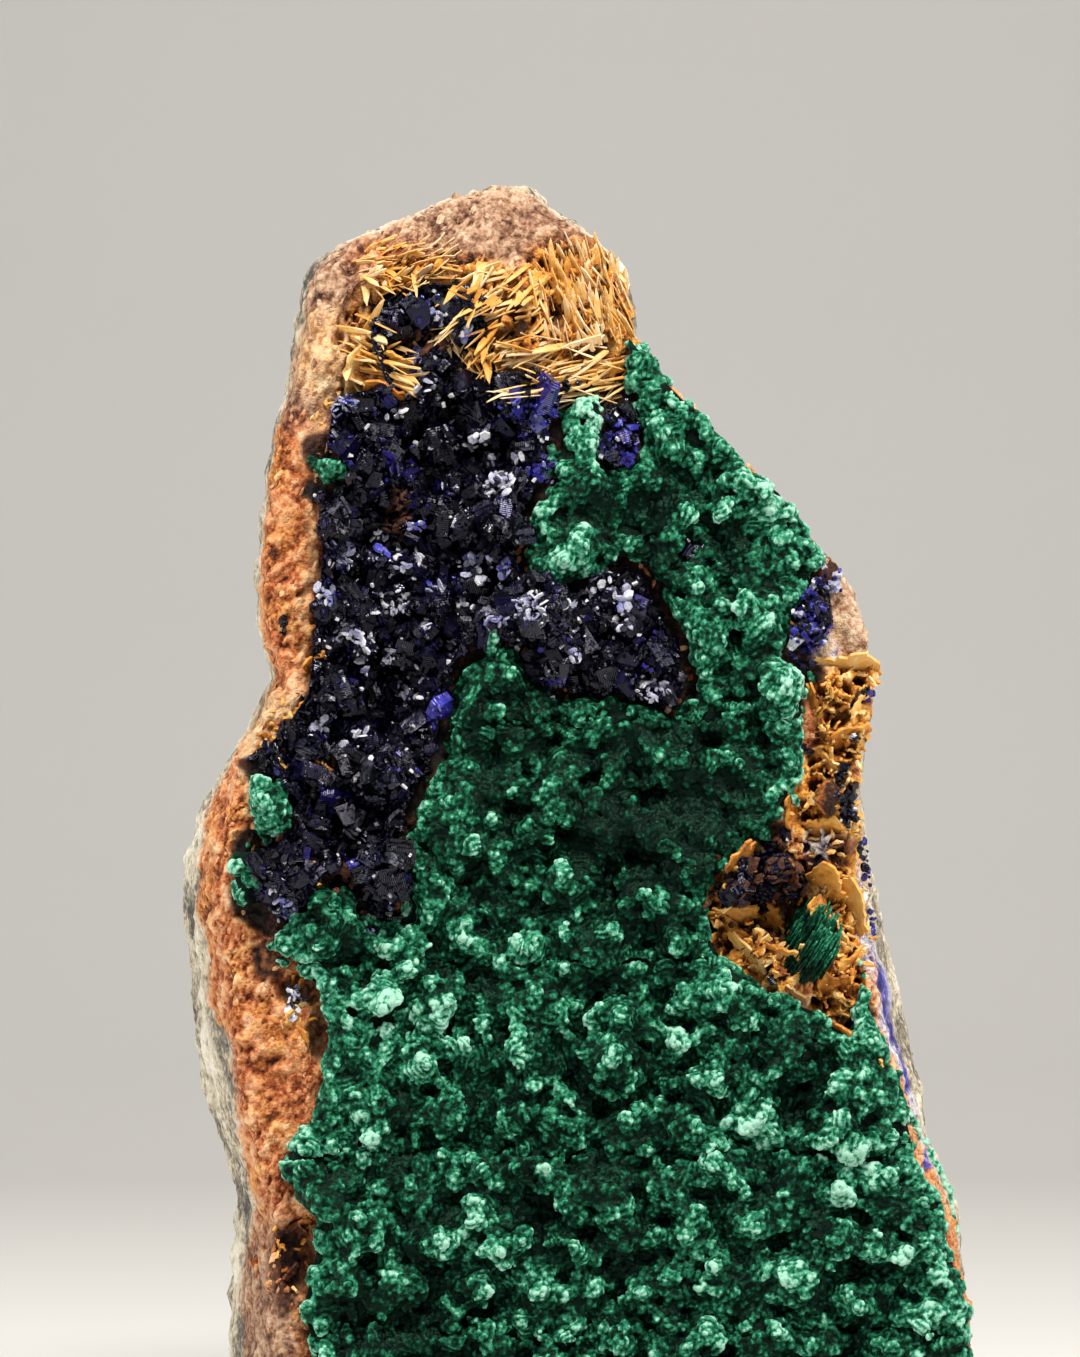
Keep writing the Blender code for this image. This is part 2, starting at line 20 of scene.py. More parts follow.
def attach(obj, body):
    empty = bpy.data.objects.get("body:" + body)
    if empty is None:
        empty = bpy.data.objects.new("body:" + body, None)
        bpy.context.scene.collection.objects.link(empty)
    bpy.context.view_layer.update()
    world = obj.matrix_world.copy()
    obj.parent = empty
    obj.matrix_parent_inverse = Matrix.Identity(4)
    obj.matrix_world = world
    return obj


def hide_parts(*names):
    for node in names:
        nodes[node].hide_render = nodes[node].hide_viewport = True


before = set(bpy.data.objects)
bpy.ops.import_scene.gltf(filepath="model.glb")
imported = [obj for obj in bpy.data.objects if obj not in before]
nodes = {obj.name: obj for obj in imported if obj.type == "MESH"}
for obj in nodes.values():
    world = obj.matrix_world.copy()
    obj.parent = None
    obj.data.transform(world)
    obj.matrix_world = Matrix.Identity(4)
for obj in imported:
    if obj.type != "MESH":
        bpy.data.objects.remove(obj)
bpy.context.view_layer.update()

MM = 0.001
GREENS = [name for name in nodes if name.startswith("malachite")]
BLUES = [name for name in nodes if name.startswith("azurite")]
print("nodes:", sorted(nodes))

# %% [markdown]
# ## The camera
# The specimen is seen straight from the front, a little above its middle, with a long lens,
# as small minerals are. A long lens keeps the sides of the rock from spreading.

# %% Camera
LENS_MM = 135.0
CAMERA_AT = (-5.55, -783.0, 126.2)

camera_data = bpy.data.cameras.new("camera")
camera_data.lens = LENS_MM
camera_data.sensor_fit = "VERTICAL"
camera_data.sensor_height = 36.0
camera_data.clip_end = 20.0
camera = bpy.data.objects.new("camera", camera_data)
camera.location = Vector(CAMERA_AT) * MM
camera.rotation_euler = (math.radians(90.0), 0.0, 0.0)
bpy.context.scene.collection.objects.link(camera)
bpy.context.scene.camera = camera
print("camera", LENS_MM, "mm at", CAMERA_AT)

# %% [markdown]
# ## Shader nodes
# Colours are picked as sRGB hex values, but a shader works in linear light, so one function
# turns the one into the other. Another adds a node, sets it and feeds its sockets, so that a
# material reads as a list of what goes into what. Three small ones make a material, feed its
# main shader and lay it on solids.


# %% Colour and nodes
def linear(hex_colour):
    """An sRGB hex value as linear RGBA."""
    parts = [int(hex_colour[i : i + 2], 16) / 255.0 for i in (1, 3, 5)]
    return [c / 12.92 if c <= 0.04045 else ((c + 0.055) / 1.055) ** 2.4 for c in parts] + [1.0]


def add(material, kind, sockets=None, output=0, **settings):
    """Adds a shader node and gives one of its outputs.

    Each socket takes a number, a hex colour or another node's output. Settings are the
    node's own properties; stops are a colour ramp's pairs of position and colour.
    """
    node = material.node_tree.nodes.new("ShaderNode" + kind)
    for name, value in settings.items():
        if name != "stops":
            setattr(node, name, value)
            continue
        while len(node.color_ramp.elements) < len(value):
            node.color_ramp.elements.new(0.5)
        for element, (place, colour) in zip(node.color_ramp.elements, value):
            element.position, element.color = place, linear(colour)
    for name, value in (sockets or {}).items():
        if isinstance(value, bpy.types.NodeSocket):
            material.node_tree.links.new(value, node.inputs[name])
        else:
            node.inputs[name].default_value = linear(value) if isinstance(value, str) else value
    return node.outputs[output]


def new_material(name, **values):
    """A material with one Principled shader; values are for its sockets."""
    material = bpy.data.materials.new(name)
    material.use_nodes = True
    shader = material.node_tree.nodes["Principled BSDF"]
    for key, value in values.items():
        shader.inputs[key.replace("_", " ")].default_value = value
    return material


def feed(material, **outputs):
    """Joins these outputs to sockets of the material's Principled shader."""
    shader = material.node_tree.nodes["Principled BSDF"]
    for key, value in outputs.items():
        material.node_tree.links.new(value, shader.inputs[key.replace("_", " ")])


def coat(names, material):
    """Gives these solids one material."""
    for name in names:
        nodes[name].data.materials.clear()
        nodes[name].data.materials.append(material)


# %% [markdown]
# ## Many small things
# A crust has thousands of crystals, so each kind is modelled once as a small template and
# copied by arrays into one joined mesh. Each copy keeps a tint of its own as an attribute, so
# that one material can colour them all differently.


# %% Joining copies of templates
def template(bm):
    """A finished bmesh as arrays: points, triangles and each point's height from 0 to 1."""
    bmesh.ops.triangulate(bm, faces=bm.faces)
    bmesh.ops.recalc_face_normals(bm, faces=bm.faces)
    bm.verts.index_update()
    points = np.array([vert.co for vert in bm.verts])
    faces = np.array([[vert.index for vert in face.verts] for face in bm.faces])
    bm.free()
    heights = points[:, 2]
    return points, faces, (heights - heights.min()) / (heights.max() - heights.min())


def gathered(name, templates, placements):
    """One mesh from many placed templates. A placement is (template, 3x3 in mm, place, tint)."""
    points, faces, tones, tints, alongs, first = [], [], [], [], [], 0
    for which, shape, place, tint in placements:
        local, tris, tone = templates[which]
        points.append(local @ np.array(shape).T + np.array(place))
        faces.append(tris + first)
        tones.append(tone)
        tints.append(np.full(len(local), tint))
        alongs.append(local[:, 0] * np.linalg.norm(np.array(shape)[:, 0]))
        first += len(local)
    points, faces = np.concatenate(points), np.concatenate(faces)
    mesh = bpy.data.meshes.new(name)
    mesh.vertices.add(len(points))
    mesh.vertices.foreach_set("co", (points * MM).astype(np.float32).ravel())
    mesh.loops.add(3 * len(faces))
    mesh.loops.foreach_set("vertex_index", faces.astype(np.int32).ravel())
    mesh.polygons.add(len(faces))
    mesh.polygons.foreach_set("loop_start", np.arange(0, 3 * len(faces), 3, dtype=np.int32))
    mesh.update(calc_edges=True)
    set_values(mesh, tone=np.concatenate(tones), tint=np.concatenate(tints),
               along=np.concatenate(alongs))
    return mesh


def set_points(mesh, places):
    """Moves a mesh's points to these places in mm."""
    mesh.vertices.foreach_set("co", (places * MM).astype(np.float32).ravel())
    mesh.update()


def set_values(mesh, **values):
    """Keeps one number a point under each of these names, for a material to read."""
    for name, numbers in values.items():
        layer = mesh.attributes.get(name) or mesh.attributes.new(name, "FLOAT", "POINT")
        layer.data.foreach_set("value", np.asarray(numbers, np.float32))


def values_of(mesh, name):
    numbers = np.empty(len(mesh.vertices), np.float32)
    mesh.attributes[name].data.foreach_get("value", numbers)
    return numbers


def put_out(name, mesh, material, smooth):
    """Makes a piece of the specimen from a finished mesh."""
    mesh.materials.clear()
    mesh.materials.append(material)
    mesh.polygons.foreach_set("use_smooth", np.full(len(mesh.polygons), smooth))
    piece = bpy.data.objects.new(name, mesh)
    bpy.context.scene.collection.objects.link(piece)
    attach(piece, "root")
    print(name, "has", sum(len(face.vertices) - 2 for face in mesh.polygons), "triangles")
    return piece


def put_copies(name, templates, placements, material, smooth=False):
    """Makes a piece from placed templates and gives its mesh."""
    mesh = gathered(name, templates, placements)
    put_out(name, mesh, material, smooth)
    return mesh


def frame_of(normal, turn, lean=0.0, heading=0.0):
    """Axes for a copy: Z along the normal, leaned over by some radians, then turned about it."""
    basis = Vector(normal).normalized().to_track_quat("Z", "Y").to_matrix()
    leaned = Matrix.Rotation(heading, 3, "Z") @ Matrix.Rotation(lean, 3, "Y")
    return basis @ leaned @ Matrix.Rotation(turn, 3, "Z")


def scaled(basis, x, y, z):
    return basis @ Matrix.Diagonal((x, y, z))


# %% [markdown]
# ## Where things sit
# Every crystal stands on what carries it. A ray that is sent in from the front finds the
# first solid and the way its surface faces, and says which mineral it has met.


# %% Rays onto the solids
RAY_START = -0.2  # in metres, ahead of everything
ALL = list(nodes)
SURFACES = ["rock"] + ALL  # the solids, and over them the rock's broken skin
OUTER = ["rock"] + BLUES + GREENS  # the same without the plain rock under its skin


def loaded(*meshes):
    """One bmesh with all of these meshes in it."""
    bm = bmesh.new()
    for mesh in meshes:
        bm.from_mesh(mesh)
    return bm


def tree_of(*meshes):
    """What a ray can be sent against."""
    bm = loaded(*meshes)
    tree = BVHTree.FromBMesh(bm)
    bm.free()
    return tree


trees = {name: tree_of(node.data) for name, node in nodes.items()}


def met(x, z, names):
    """The first of these solids met from the front at (x, z) in mm: name, place and normal."""
    best = None
    for name in names:
        place, normal, _, distance = trees[name].ray_cast(
            Vector((x * MM, RAY_START, z * MM)), Vector((0.0, 1.0, 0.0)))
        if place is not None and (best is None or distance < best[3]):
            best = (name, place / MM, normal, distance)
    return best


def lattice(box, pitch, jitter, rng):
    """Points one pitch apart in staggered rows over a box (x0, z0, x1, z1), each moved a little."""
    x0, z0, x1, z1 = box
    for row in range(int((z1 - z0) / (0.866 * pitch)) + 1):
        x = x0 + (0.5 * pitch if row % 2 else 0.0)
        while x < x1:
            yield (x + rng.uniform(-jitter, jitter) * pitch,
                   z0 + 0.866 * pitch * row + rng.uniform(-jitter, jitter) * pitch)
            x += pitch


def in_ovals(x, z, ovals):
    """How far inside the nearest of some ovals (centre x, z, radius x, z): 1 in its middle."""
    return max(1.0 - math.hypot((x - cx) / rx, (z - cz) / rz) for cx, cz, rx, rz in ovals)


def wave(x, y, z, size):
    """Smooth noise from about -1 to 1, with bumps about this size in mm."""
    return noise.noise(Vector((x, y, z)) / size)


def stretched(place, sizes):
    """A place to read noise at, whose bumps have these sizes in mm along X, Y and Z."""
    return Vector([part / size for part, size in zip(place, sizes)])


def clamped(value):
    return min(max(value, 0.0), 1.0)


def soft_step(value, low, high):
    """0 below low, 1 above high and a smooth curve between."""
    share = np.clip((value - low) / (high - low), 0.0, 1.0)
    return share * share * (3.0 - 2.0 * share)


# %% [markdown]
# ## The rock
# The host rock is a porous, iron-stained gossan. Its front rim is crumbly and orange, its
# outer skin is pale and weathered, and thin walls of limonite stand round empty cells at the
# right. It could be sculpted by hand, but a voxel remesh of the solid gives an even skin, and
# noise of several sizes then breaks it into ledges, crumbs and grains. Only the bare rock
# that shows is split into finer faces, so that the covered parts stay light.


# %% A fine skin
ROCK_VOXEL = 1.55


def skin_of(mesh, voxel):
    """The mesh wrapped in one even skin of small faces, with all inner walls gone."""
    helper = bpy.data.objects.new("helper", mesh)
    bpy.context.scene.collection.objects.link(helper)
    modifier = helper.modifiers.new("skin", "REMESH")
    modifier.mode = "VOXEL"
    modifier.voxel_size = voxel * MM
    bpy.context.view_layer.update()
    graph = bpy.context.evaluated_depsgraph_get()
    skin = bpy.data.meshes.new_from_object(helper.evaluated_get(graph))
    bpy.data.objects.remove(helper)
    return skin


def split_faces(bm, wanted):
    """Splits every wanted face into four. Their neighbours share the new points."""
    edges = dict.fromkeys(edge for face in bm.faces if wanted(face) for edge in face.edges)
    bmesh.ops.subdivide_edges(bm, edges=list(edges), cuts=1, use_grid_fill=True)


def points_of(mesh, what="co"):
    """Every point's place in metres, or another of its vectors."""
    values = np.empty(3 * len(mesh.vertices), np.float32)
    mesh.vertices.foreach_get(what, values)
    return values.reshape(-1, 3).astype(float)


def soften(bm):
    """Moves every point halfway towards the middle of its neighbours."""
    bmesh.ops.smooth_vert(bm, verts=bm.verts, factor=0.5, use_axis_x=True, use_axis_y=True,
                          use_axis_z=True)


def cut_up(bm):
    """Cuts the faces that gained a neighbour's points into triangles."""
    bmesh.ops.triangulate(bm, faces=[face for face in bm.faces if len(face.verts) > 4])


crust_trees = {"green": tree_of(*(nodes[name].data for name in GREENS)),
               "blue": tree_of(*(nodes[name].data for name in BLUES))}


def gap_to(colour, place, reach):
    """Millimetres from a place in metres to the crusts of one colour, up to a reach."""
    hit = crust_trees[colour].find_nearest(place, reach * MM)
    return reach if hit[0] is None else hit[3] / MM


bm = loaded(nodes["limonite_rock"].data)
bmesh.ops.remove_doubles(bm, verts=bm.verts, dist=0.00001)
merged = bpy.data.meshes.new("merged")
bm.to_mesh(merged)
bm.free()
rock_mesh = skin_of(merged, ROCK_VOXEL)

bm = loaded(rock_mesh)
for most_backward in (0.1, -0.45):
    split_faces(bm, lambda face: face.normal.y < most_backward
                and min(gap_to(c, face.calc_center_median(), 1.5) for c in crust_trees) > 0.9)
cut_up(bm)
soften(bm)
bm.to_mesh(rock_mesh)
bm.free()
places, facing = points_of(rock_mesh) / MM, points_of(rock_mesh, "normal")
count = len(places)
print("rock skin:", count, "points")

# %% [markdown]
# ### Zones of the rock
# The rock changes over its face, and each zone is drawn once here as a few ovals or as a line
# up its side. A little noise on the borders keeps them from looking cut out. An oval is given
# by its centre, x and z, and its radius across and up, in millimetres. The dark zones are
# sunk as well, and so are the holes between the sheaves of blades, and both are painted
# with shade.

# %% Zones
BLADE_ZONES = ((-1, 179, 11, 14), (-19, 182, 14, 9), (-30, 175.5, 7, 8))
BOXWORK_ZONES = ((41, 121, 5.5, 8.5), (37.5, 107, 5.5, 10), (39.5, 90, 5.5, 12),
                 (27, 91, 10.5, 11.5), (38, 75, 4, 6))
TAN_ZONES = ((-12, 200, 18, 13), (-40, 180, 10, 16), (40, 136, 6, 9),
             (-47, 20, 6, 26))
RUSSET_ZONES = ((39.4, 100.7, 2.3, 2.7), (-27, 150, 6, 8), (-46, 84.5, 2.6, 3.4),
                (-35, 96, 6, 5), (-43.5, 39, 2.5, 7), (39, 74, 2, 2.4))
ROYAL_ZONES = ((46.3, 81, 1, 2.6), (47.2, 77.6, 1.1, 2.6), (48.2, 73.8, 1.1, 2.8),
               (49.2, 70, 1.1, 2.8), (50, 66.5, 1, 2.4), (43.6, 104, 0.8, 5),
               (52.6, 54, 0.9, 1.2), (-56.4, 72.6, 0.9, 1.6), (34, 134, 1.8, 5.4),
               (37, 140, 0.8, 2.4))
DARK_ZONES = ((-41.1, 79.7, 3.2, 2.2), (-38.6, 73.4, 1.8, 4.2), (-41.5, 41, 2.2, 5),
              (-24, 173.5, 4, 3), (42.5, 74.5, 1.6, 4), (28, 94, 5.5, 5),
              (43, 123.2, 1.3, 1.5), (35.5, 123.5, 1.2, 1.6), (39.5, 120.5, 1, 2))
# Empty holes between the sheaves of blades, sunk and painted dark with shade.
CAVITIES = ((-9.3, 181.8, 1.8, 1.4), (-2.9, 180.8, 1.5, 2), (-16.6, 186.8, 1.3, 0.8),
            (-9.8, 178.2, 2.2, 1.2), (0.9, 175, 2, 1.3), (4.2, 176.2, 1.4, 1.8))
PALE_ZONES = ((36, 142.8, 1.6, 2.4), (37.2, 130.6, 1.7, 2.2), (35.6, 101.2, 2.2, 3),
              (44, 94, 1.6, 12), (-46, 116, 4.6, 8.5), (-38, 175.5, 5, 7))
# How wide the weathered skin shows from the front, by height, at the left and at the right.
LEFT_SKIN = ((0, 4.5), (25, 2.8), (33, 1), (43, 4), (56, 5.2), (72, 7.5),
             (77, 3.5), (84, 4.2), (93, 2.7), (103, 2.6), (112, 1), (135, 1.5),
             (150, 1), (168, 1), (183, 2), (202, 1.2))
RIGHT_SKIN = ((0, 1), (48, 1), (52, 2), (57, 3.2), (66, 4.2), (75, 5.6),
              (85, 4), (95, 2.4), (108, 2), (115, 0.8), (202, 0.6))
print("dark zones:", len(DARK_ZONES), "and holes between the blades:", len(CAVITIES))

# %% Measuring the zones
EDGE_STEP = 2.0  # millimetres of height over which the rock's own edge is measured
x, y, z = places.T
wander = np.array([2.2 * wave(*p, 9.0) + 1.0 * wave(*p, 3.1) for p in places])


def zone(ovals, blur=0.12, ragged=0.05):
    """1 inside these ovals and 0 outside, with a wandering border, over the front only."""
    inside = np.array([in_ovals(a, b, ovals) for a, b in zip(x, z)])
    return soft_step(inside + ragged * wander, -blur, blur) * (1.0 - behind)


behind = soft_step(y + 2.0 * wander, -12.0, 0.0)
levels = (z / EDGE_STEP).astype(int)
left_edge, right_edge = np.full(levels.max() + 1, 100.0), np.full(levels.max() + 1, -100.0)
np.minimum.at(left_edge, levels, x)
np.maximum.at(right_edge, levels, x)
# The top of the rock has no side edges.
left_edge[-3:], right_edge[-3:] = -100.0, 100.0
left_line = left_edge[levels] + np.interp(z, *zip(*LEFT_SKIN)) + 0.5 * wander
right_line = right_edge[levels] - np.interp(z, *zip(*RIGHT_SKIN)) + 0.4 * wander
skin = np.maximum.reduce([
    1.0 - soft_step(x, left_line - 0.6, left_line + 0.6),
    soft_step(x, right_line - 0.6, right_line + 0.6),
    behind,
])
bladed, boxed, tan = zone(BLADE_ZONES), zone(BOXWORK_ZONES), zone(TAN_ZONES, 0.3)
front = 1.0 - soft_step(y + 1.5 * wander, -18.0, -9.0)
russet, royal = zone(RUSSET_ZONES, 0.3), zone(ROYAL_ZONES, 0.25) * front
sunken, pale = zone(DARK_ZONES + CAVITIES, 0.3, 0.18), zone(PALE_ZONES, 0.3)
blue_gap = np.array([gap_to("blue", Vector(p) * MM, 5.0) for p in places])
green_gap = np.array([gap_to("green", Vector(p) * MM, 5.0) for p in places])
print("zones measured")

# %% [markdown]
# ### Ledges, crumbs, flakes and cells
# Each kind of break is a height that is added along the surface. The distance to the nearest
# of many scattered points makes rounded grains with sharp creases. The difference between the
# two nearest makes cells with thin walls, which is how limonite boxwork looks after the
# crystals that it grew round have gone.

# %% Breaking the skin
LEDGE_SIZE, LEDGE_HEIGHT = 9.0, 1.4
CRUMB_SIZE, CRUMB_HEIGHT = 4.2, 1.35
GRAIN_SIZE, GRAIN_HEIGHT = 1.0, 0.55
FIBRE_SIZE, FIBRE_HEIGHT = (0.6, 1.3, 2.6), 1.1
CELL_SIZE, CELL_DEPTH = (2.4, 2.6, 3.2), 2.4
SHEAF_SIZE, SHEAF_DEPTH = (1.4, 3.0, 4.5), 2.2
STREAK_SIZE, STREAK_DEPTH = (0.9, 2.0, 4.0), 0.8
SUNKEN_DEPTH = 2.2
BASE_KEEP = 2.5  # the lowest millimetres fade to the flat base
RIGHT_KNOB_FROM = 30.0  # the tan knob right of this is paler than the other tan parts
LEAN = 0.45  # how far the grain of the rock leans to the right as it rises

noise.seed_set(7)  # the vector noise is drawn from this seed, so that every run agrees
moves = np.zeros(count)
hollow = np.zeros(count)
for i, place in enumerate(places):
    p = Vector(place)
    bent = p + 0.5 * noise.noise_vector(p / 2.0)
    near = noise.voronoi(p / LEDGE_SIZE)[0]
    ledge = min(near[1] - near[0], 0.5)
    crumb = noise.turbulence(p / CRUMB_SIZE, 4, True)
    grit = noise.voronoi(bent / GRAIN_SIZE)[0][0]
    leaning = Vector((bent.x - LEAN * bent.z, bent.y, bent.z + LEAN * bent.x))
    fibre = abs(noise.noise(stretched(leaning, FIBRE_SIZE)))
    fibrous = clamped(0.5 + 1.4 * noise.noise(p / 14.0))
    rough = 1.0 - 0.55 * skin[i] - 0.4 * tan[i] * (1.0 - skin[i])
    streaky = clamped(0.5 + 1.6 * noise.noise(p / 11.0 + Vector((40.0, 0.0, 0.0))))
    move = LEDGE_HEIGHT * (ledge - 0.35)
    move += rough * (CRUMB_HEIGHT * (1.3 - 0.7 * fibrous) * (crumb - 0.45)
                     + GRAIN_HEIGHT * (0.45 - grit) + FIBRE_HEIGHT * fibrous * (fibre - 0.2))
    # The same breaks set how dark a point is painted: darker where it sinks, paler where it rises.
    # That is painted shade and painted highlight.
    dark = 0.45 + rough * (0.4 * (grit - 0.45) - 0.6 * (crumb - 0.5)
                           - 0.9 * fibrous * (fibre - 0.2))
    tan_part = 0.16 if place[0] > RIGHT_KNOB_FROM else -0.06
    dark -= 0.35 * (ledge - 0.3) + tan_part * tan[i]
    # The streaks are sunk and painted darker: painted shade.
    streak = noise.noise(stretched(leaning, STREAK_SIZE))
    dark += 0.4 * rough * streaky * streak
    move -= rough * STREAK_DEPTH * streaky * streak
    # Open cells and the holes between sheaves are sunk and painted dark: painted shade.
    if boxed[i] > 0.0:
        near = noise.voronoi(stretched(leaning, CELL_SIZE), distance_metric="CHEBYCHEV")[0]
        open_share = boxed[i] * float(soft_step(near[1] - near[0], 0.08, 0.25))
        move -= CELL_DEPTH * open_share
        dark += 0.6 * open_share - 0.2 * boxed[i]
    if bladed[i] > 0.0:
        near = noise.voronoi(stretched(leaning, SHEAF_SIZE))[0]
        open_share = bladed[i] * float(soft_step(near[1] - near[0], 0.15, 0.5))
        move -= SHEAF_DEPTH * open_share
        dark += 0.4 * open_share
    moves[i], hollow[i] = move - SUNKEN_DEPTH * sunken[i], dark
print("broken up by", round(float(moves.min()), 2), "to", round(float(moves.max()), 2), "mm")

# %% Moving the skin and keeping its values
keep = soft_step(z, 0.3, BASE_KEEP)
places = places + facing * (moves * keep)[:, None]
places[:, 2] = np.where(z < 0.7, 0.0, np.maximum(places[:, 2], 0.0))
set_points(rock_mesh, places)
cream = soft_step(blue_gap, 0.6, 1.4) * (1.0 - soft_step(blue_gap, 1.6, 3.0)) * (1.0 - behind)
cream *= soft_step(green_gap, 4.0, 4.9) * soft_step(wander, -1.0, 1.0)
cream = np.maximum(cream, pale * (x < 0.0))
# Painted shade: the rock is darkened at the foot of the crusts, in the strip between the two crusts
# and in the sunken zones.
between = (1.0 - soft_step(blue_gap, 3.5, 4.5)) * (1.0 - soft_step(green_gap, 3.5, 4.5))
near_crust = 1.0 - soft_step(np.minimum(blue_gap, green_gap), 0.2, 0.9)
set_values(rock_mesh, skin=skin, golden=np.maximum(boxed, bladed), tan=tan, russet=russet,
           royal=royal, hollow=hollow, cream=cream,
           covered=np.maximum(np.maximum(0.75 * near_crust, between) * (1.0 - 0.85 * boxed),
                              0.75 * sunken),
           lilac=np.maximum(skin, pale) * soft_step(x, 30.0, 38.0) * front)
print("darkest and lightest hollow:", round(float(hollow.max()), 2), round(float(hollow.min()), 2))

# %% [markdown]
# ### Limonite and weathered rock
# Limonite is iron rust in stone: dull, porous, orange to ochre, and brown where it is dense.
# Its outer skin is bleached to cream and grey by weather. One material holds them all, and
# the values that were measured above say where each shows. Hollows are dark and crests pale:
# that is painted shade in the creases, cells and holes, and a painted highlight on the crests.

# %% Limonite material
# Broken limonite: dull and granular, so light catches single grains and gives no gloss.
limonite = new_material("iron_stained_limonite", Roughness=0.85, Specular_IOR_Level=0.35)
coordinates = add(limonite, "TexCoord", output="Object")
values = {name: add(limonite, "Attribute", output="Fac", attribute_name=name)
          for name in ("hollow", "tan", "golden", "skin", "lilac", "russet", "royal", "cream",
                       "covered")}
patches = add(limonite, "TexNoise", {"Vector": coordinates, "Scale": 0.5 / (6.0 * MM),
                                     "Detail": 4.0, "Roughness": 0.6})
flecks = add(limonite, "TexNoise", {"Vector": coordinates, "Scale": 0.5 / (0.8 * MM),
                                    "Detail": 3.0, "Roughness": 0.7})
fine = add(limonite, "TexNoise", {"Vector": coordinates, "Scale": 0.5 / (0.35 * MM),
                                  "Detail": 2.0})
# How dark a point is: how hollow it lies, which is painted shade, with the stone's own grain of
# three sizes over that.
depth = -1.325
for part, weight in ((values["hollow"], 1.0), (flecks, 1.5), (patches, 0.35), (fine, 0.8)):
    depth = add(limonite, "Math", {0: part, 1: weight, 2: depth}, operation="MULTIPLY_ADD")
veins = add(limonite, "TexNoise", {"Vector": coordinates, "Scale": 0.5 / (3.0 * MM),
                                   "Detail": 3.0, "Roughness": 0.6})
veins = add(limonite, "MapRange", {"Value": veins, 1: 0.5, 2: 0.62, 3: 0.0, 4: 0.45})
# The weathered skin is blotched more by the large patches.
mottle = -0.65
for part, weight in ((depth, 0.8), (patches, 1.5)):
    mottle = add(limonite, "Math", {0: part, 1: weight, 2: mottle}, operation="MULTIPLY_ADD")
TONES = {
    "rim": ((0.0, "#dab48e"), (0.22, "#d09b70"), (0.48, "#be7b4d"), (0.72, "#954a20"),
            (0.98, "#461a0a")),
    "golden": ((0.0, "#e6c184"), (0.25, "#d69b44"), (0.5, "#bb7626"), (0.75, "#7d4314"),
               (1.0, "#281106")),
    "tan": ((0.0, "#cab298"), (0.25, "#ba9c80"), (0.5, "#9f7b60"), (0.75, "#704b36"),
            (1.0, "#2e180d")),
    "skin": ((0.1, "#dcd6c6"), (0.38, "#c5bba4"), (0.54, "#a99d87"), (0.68, "#7f7769"),
             (0.9, "#4a4641")),
    "lilac": ((0.1, "#dcd9d6"), (0.4, "#b9b4bd"), (0.6, "#85809f"), (0.85, "#35305c")),
    "russet": ((0.2, "#7a4a2c"), (0.5, "#4f2b18"), (0.9, "#1a0c07")),
    "royal": ((0.1, "#8c8cc4"), (0.35, "#3a36a4"), (0.6, "#1c185c"), (0.9, "#0c0a28")),
    "cream": ((0.1, "#d0b58e"), (0.45, "#c8a074"), (0.8, "#94643c")),
    # Painted shade at the foot of the crusts, between them and in the sunken holes.
    "covered": ((0.2, "#40200f"), (0.5, "#1f0f08"), (0.8, "#0a0503")),
}
colours = {name: add(limonite, "ValToRGB", {"Fac": mottle if name == "skin" else depth},
                     stops=stops) for name, stops in TONES.items()}
colour = add(limonite, "Mix", {0: veins, 6: colours["rim"], 7: colours["golden"]}, output=2,
             data_type="RGBA")
for name in ("tan", "golden", "skin", "lilac", "russet", "royal", "cream", "covered"):
    colour = add(limonite, "Mix", {0: values[name], 6: colour, 7: colours[name]}, output=2,
                 data_type="RGBA")
relief = add(limonite, "Math", {0: fine, 1: 0.4, 2: flecks}, operation="MULTIPLY_ADD")
bump = add(limonite, "Bump", {"Height": relief, "Strength": 1.0, "Distance": 0.9 * MM})
feed(limonite, Base_Color=colour, Normal=bump)
rock = put_out("rock", rock_mesh, limonite, True)
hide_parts("limonite_rock")
trees["rock"] = tree_of(rock_mesh)

# %% [markdown]
# ## Malachite
# Malachite grows here as a cauliflower crust: lumps a few millimetres across, each with knobs
# on it, and each knob made of silky granules or of stacked plates. Copies of a few lumps
# would show that they repeat. Instead the lumps are set out close together and a voxel skin
# is drawn over all of them at once, which also removes what is hidden. Its front is then
# split once more, and every lump gets granules or plates of its own.
#
# The lumps are set out in passes, from the large to the small.

# %% Lumps
LUMP_KINDS = 8
KNOBS = 11


def lump(seed):
    """A core with knobs over its free side, together with a radius of about 1."""
    rng = random.Random(seed)
    bm = bmesh.new()
    bmesh.ops.create_icosphere(bm, subdivisions=2, radius=0.74)
    for _ in range(KNOBS):
        way = Vector((rng.gauss(0.0, 1.0), rng.gauss(0.0, 1.0), rng.gauss(0.5, 0.8))).normalized()
        at = Matrix.Translation(way * rng.uniform(0.55, 0.78))
        bmesh.ops.create_icosphere(bm, subdivisions=1, radius=rng.uniform(0.26, 0.46), matrix=at)
    return template(bm)


lumps = [lump(seed) for seed in range(LUMP_KINDS)]
print("lump:", len(lumps[0][1]), "triangles")

# %% Setting out the lumps
BLUE_BANDS = ((19, 144.3, 6.5, 2.2), (11, 125, 3, 2.5))
# Painted light on the malachite: lumps in the first ovals are painted paler, as where light falls
# fully, and in the second darker, as in shade.
LIT_GREEN = ((-24, 75, 14, 11), (41, 54, 8, 11), (27, 60, 8, 7),
              (30, 38, 6, 4), (-32, 60, 5, 8), (28, 152, 6, 6),
              (2, 166, 4, 8))
SHADED_GREEN = ((10, 108, 20, 22), (-8, 122, 13, 9), (-28, 32, 17, 10),
              (-5, 48, 8, 6), (12, 150, 6, 8), (33.5, 62.5, 4.5, 4),
              (14, 142, 5, 5))
GREEN_BOX = (-52, 2, 62, 178)  # x and z of its corners
FRONT_LIMIT = -36.4  # without its granules, no lump reaches farther forward than this


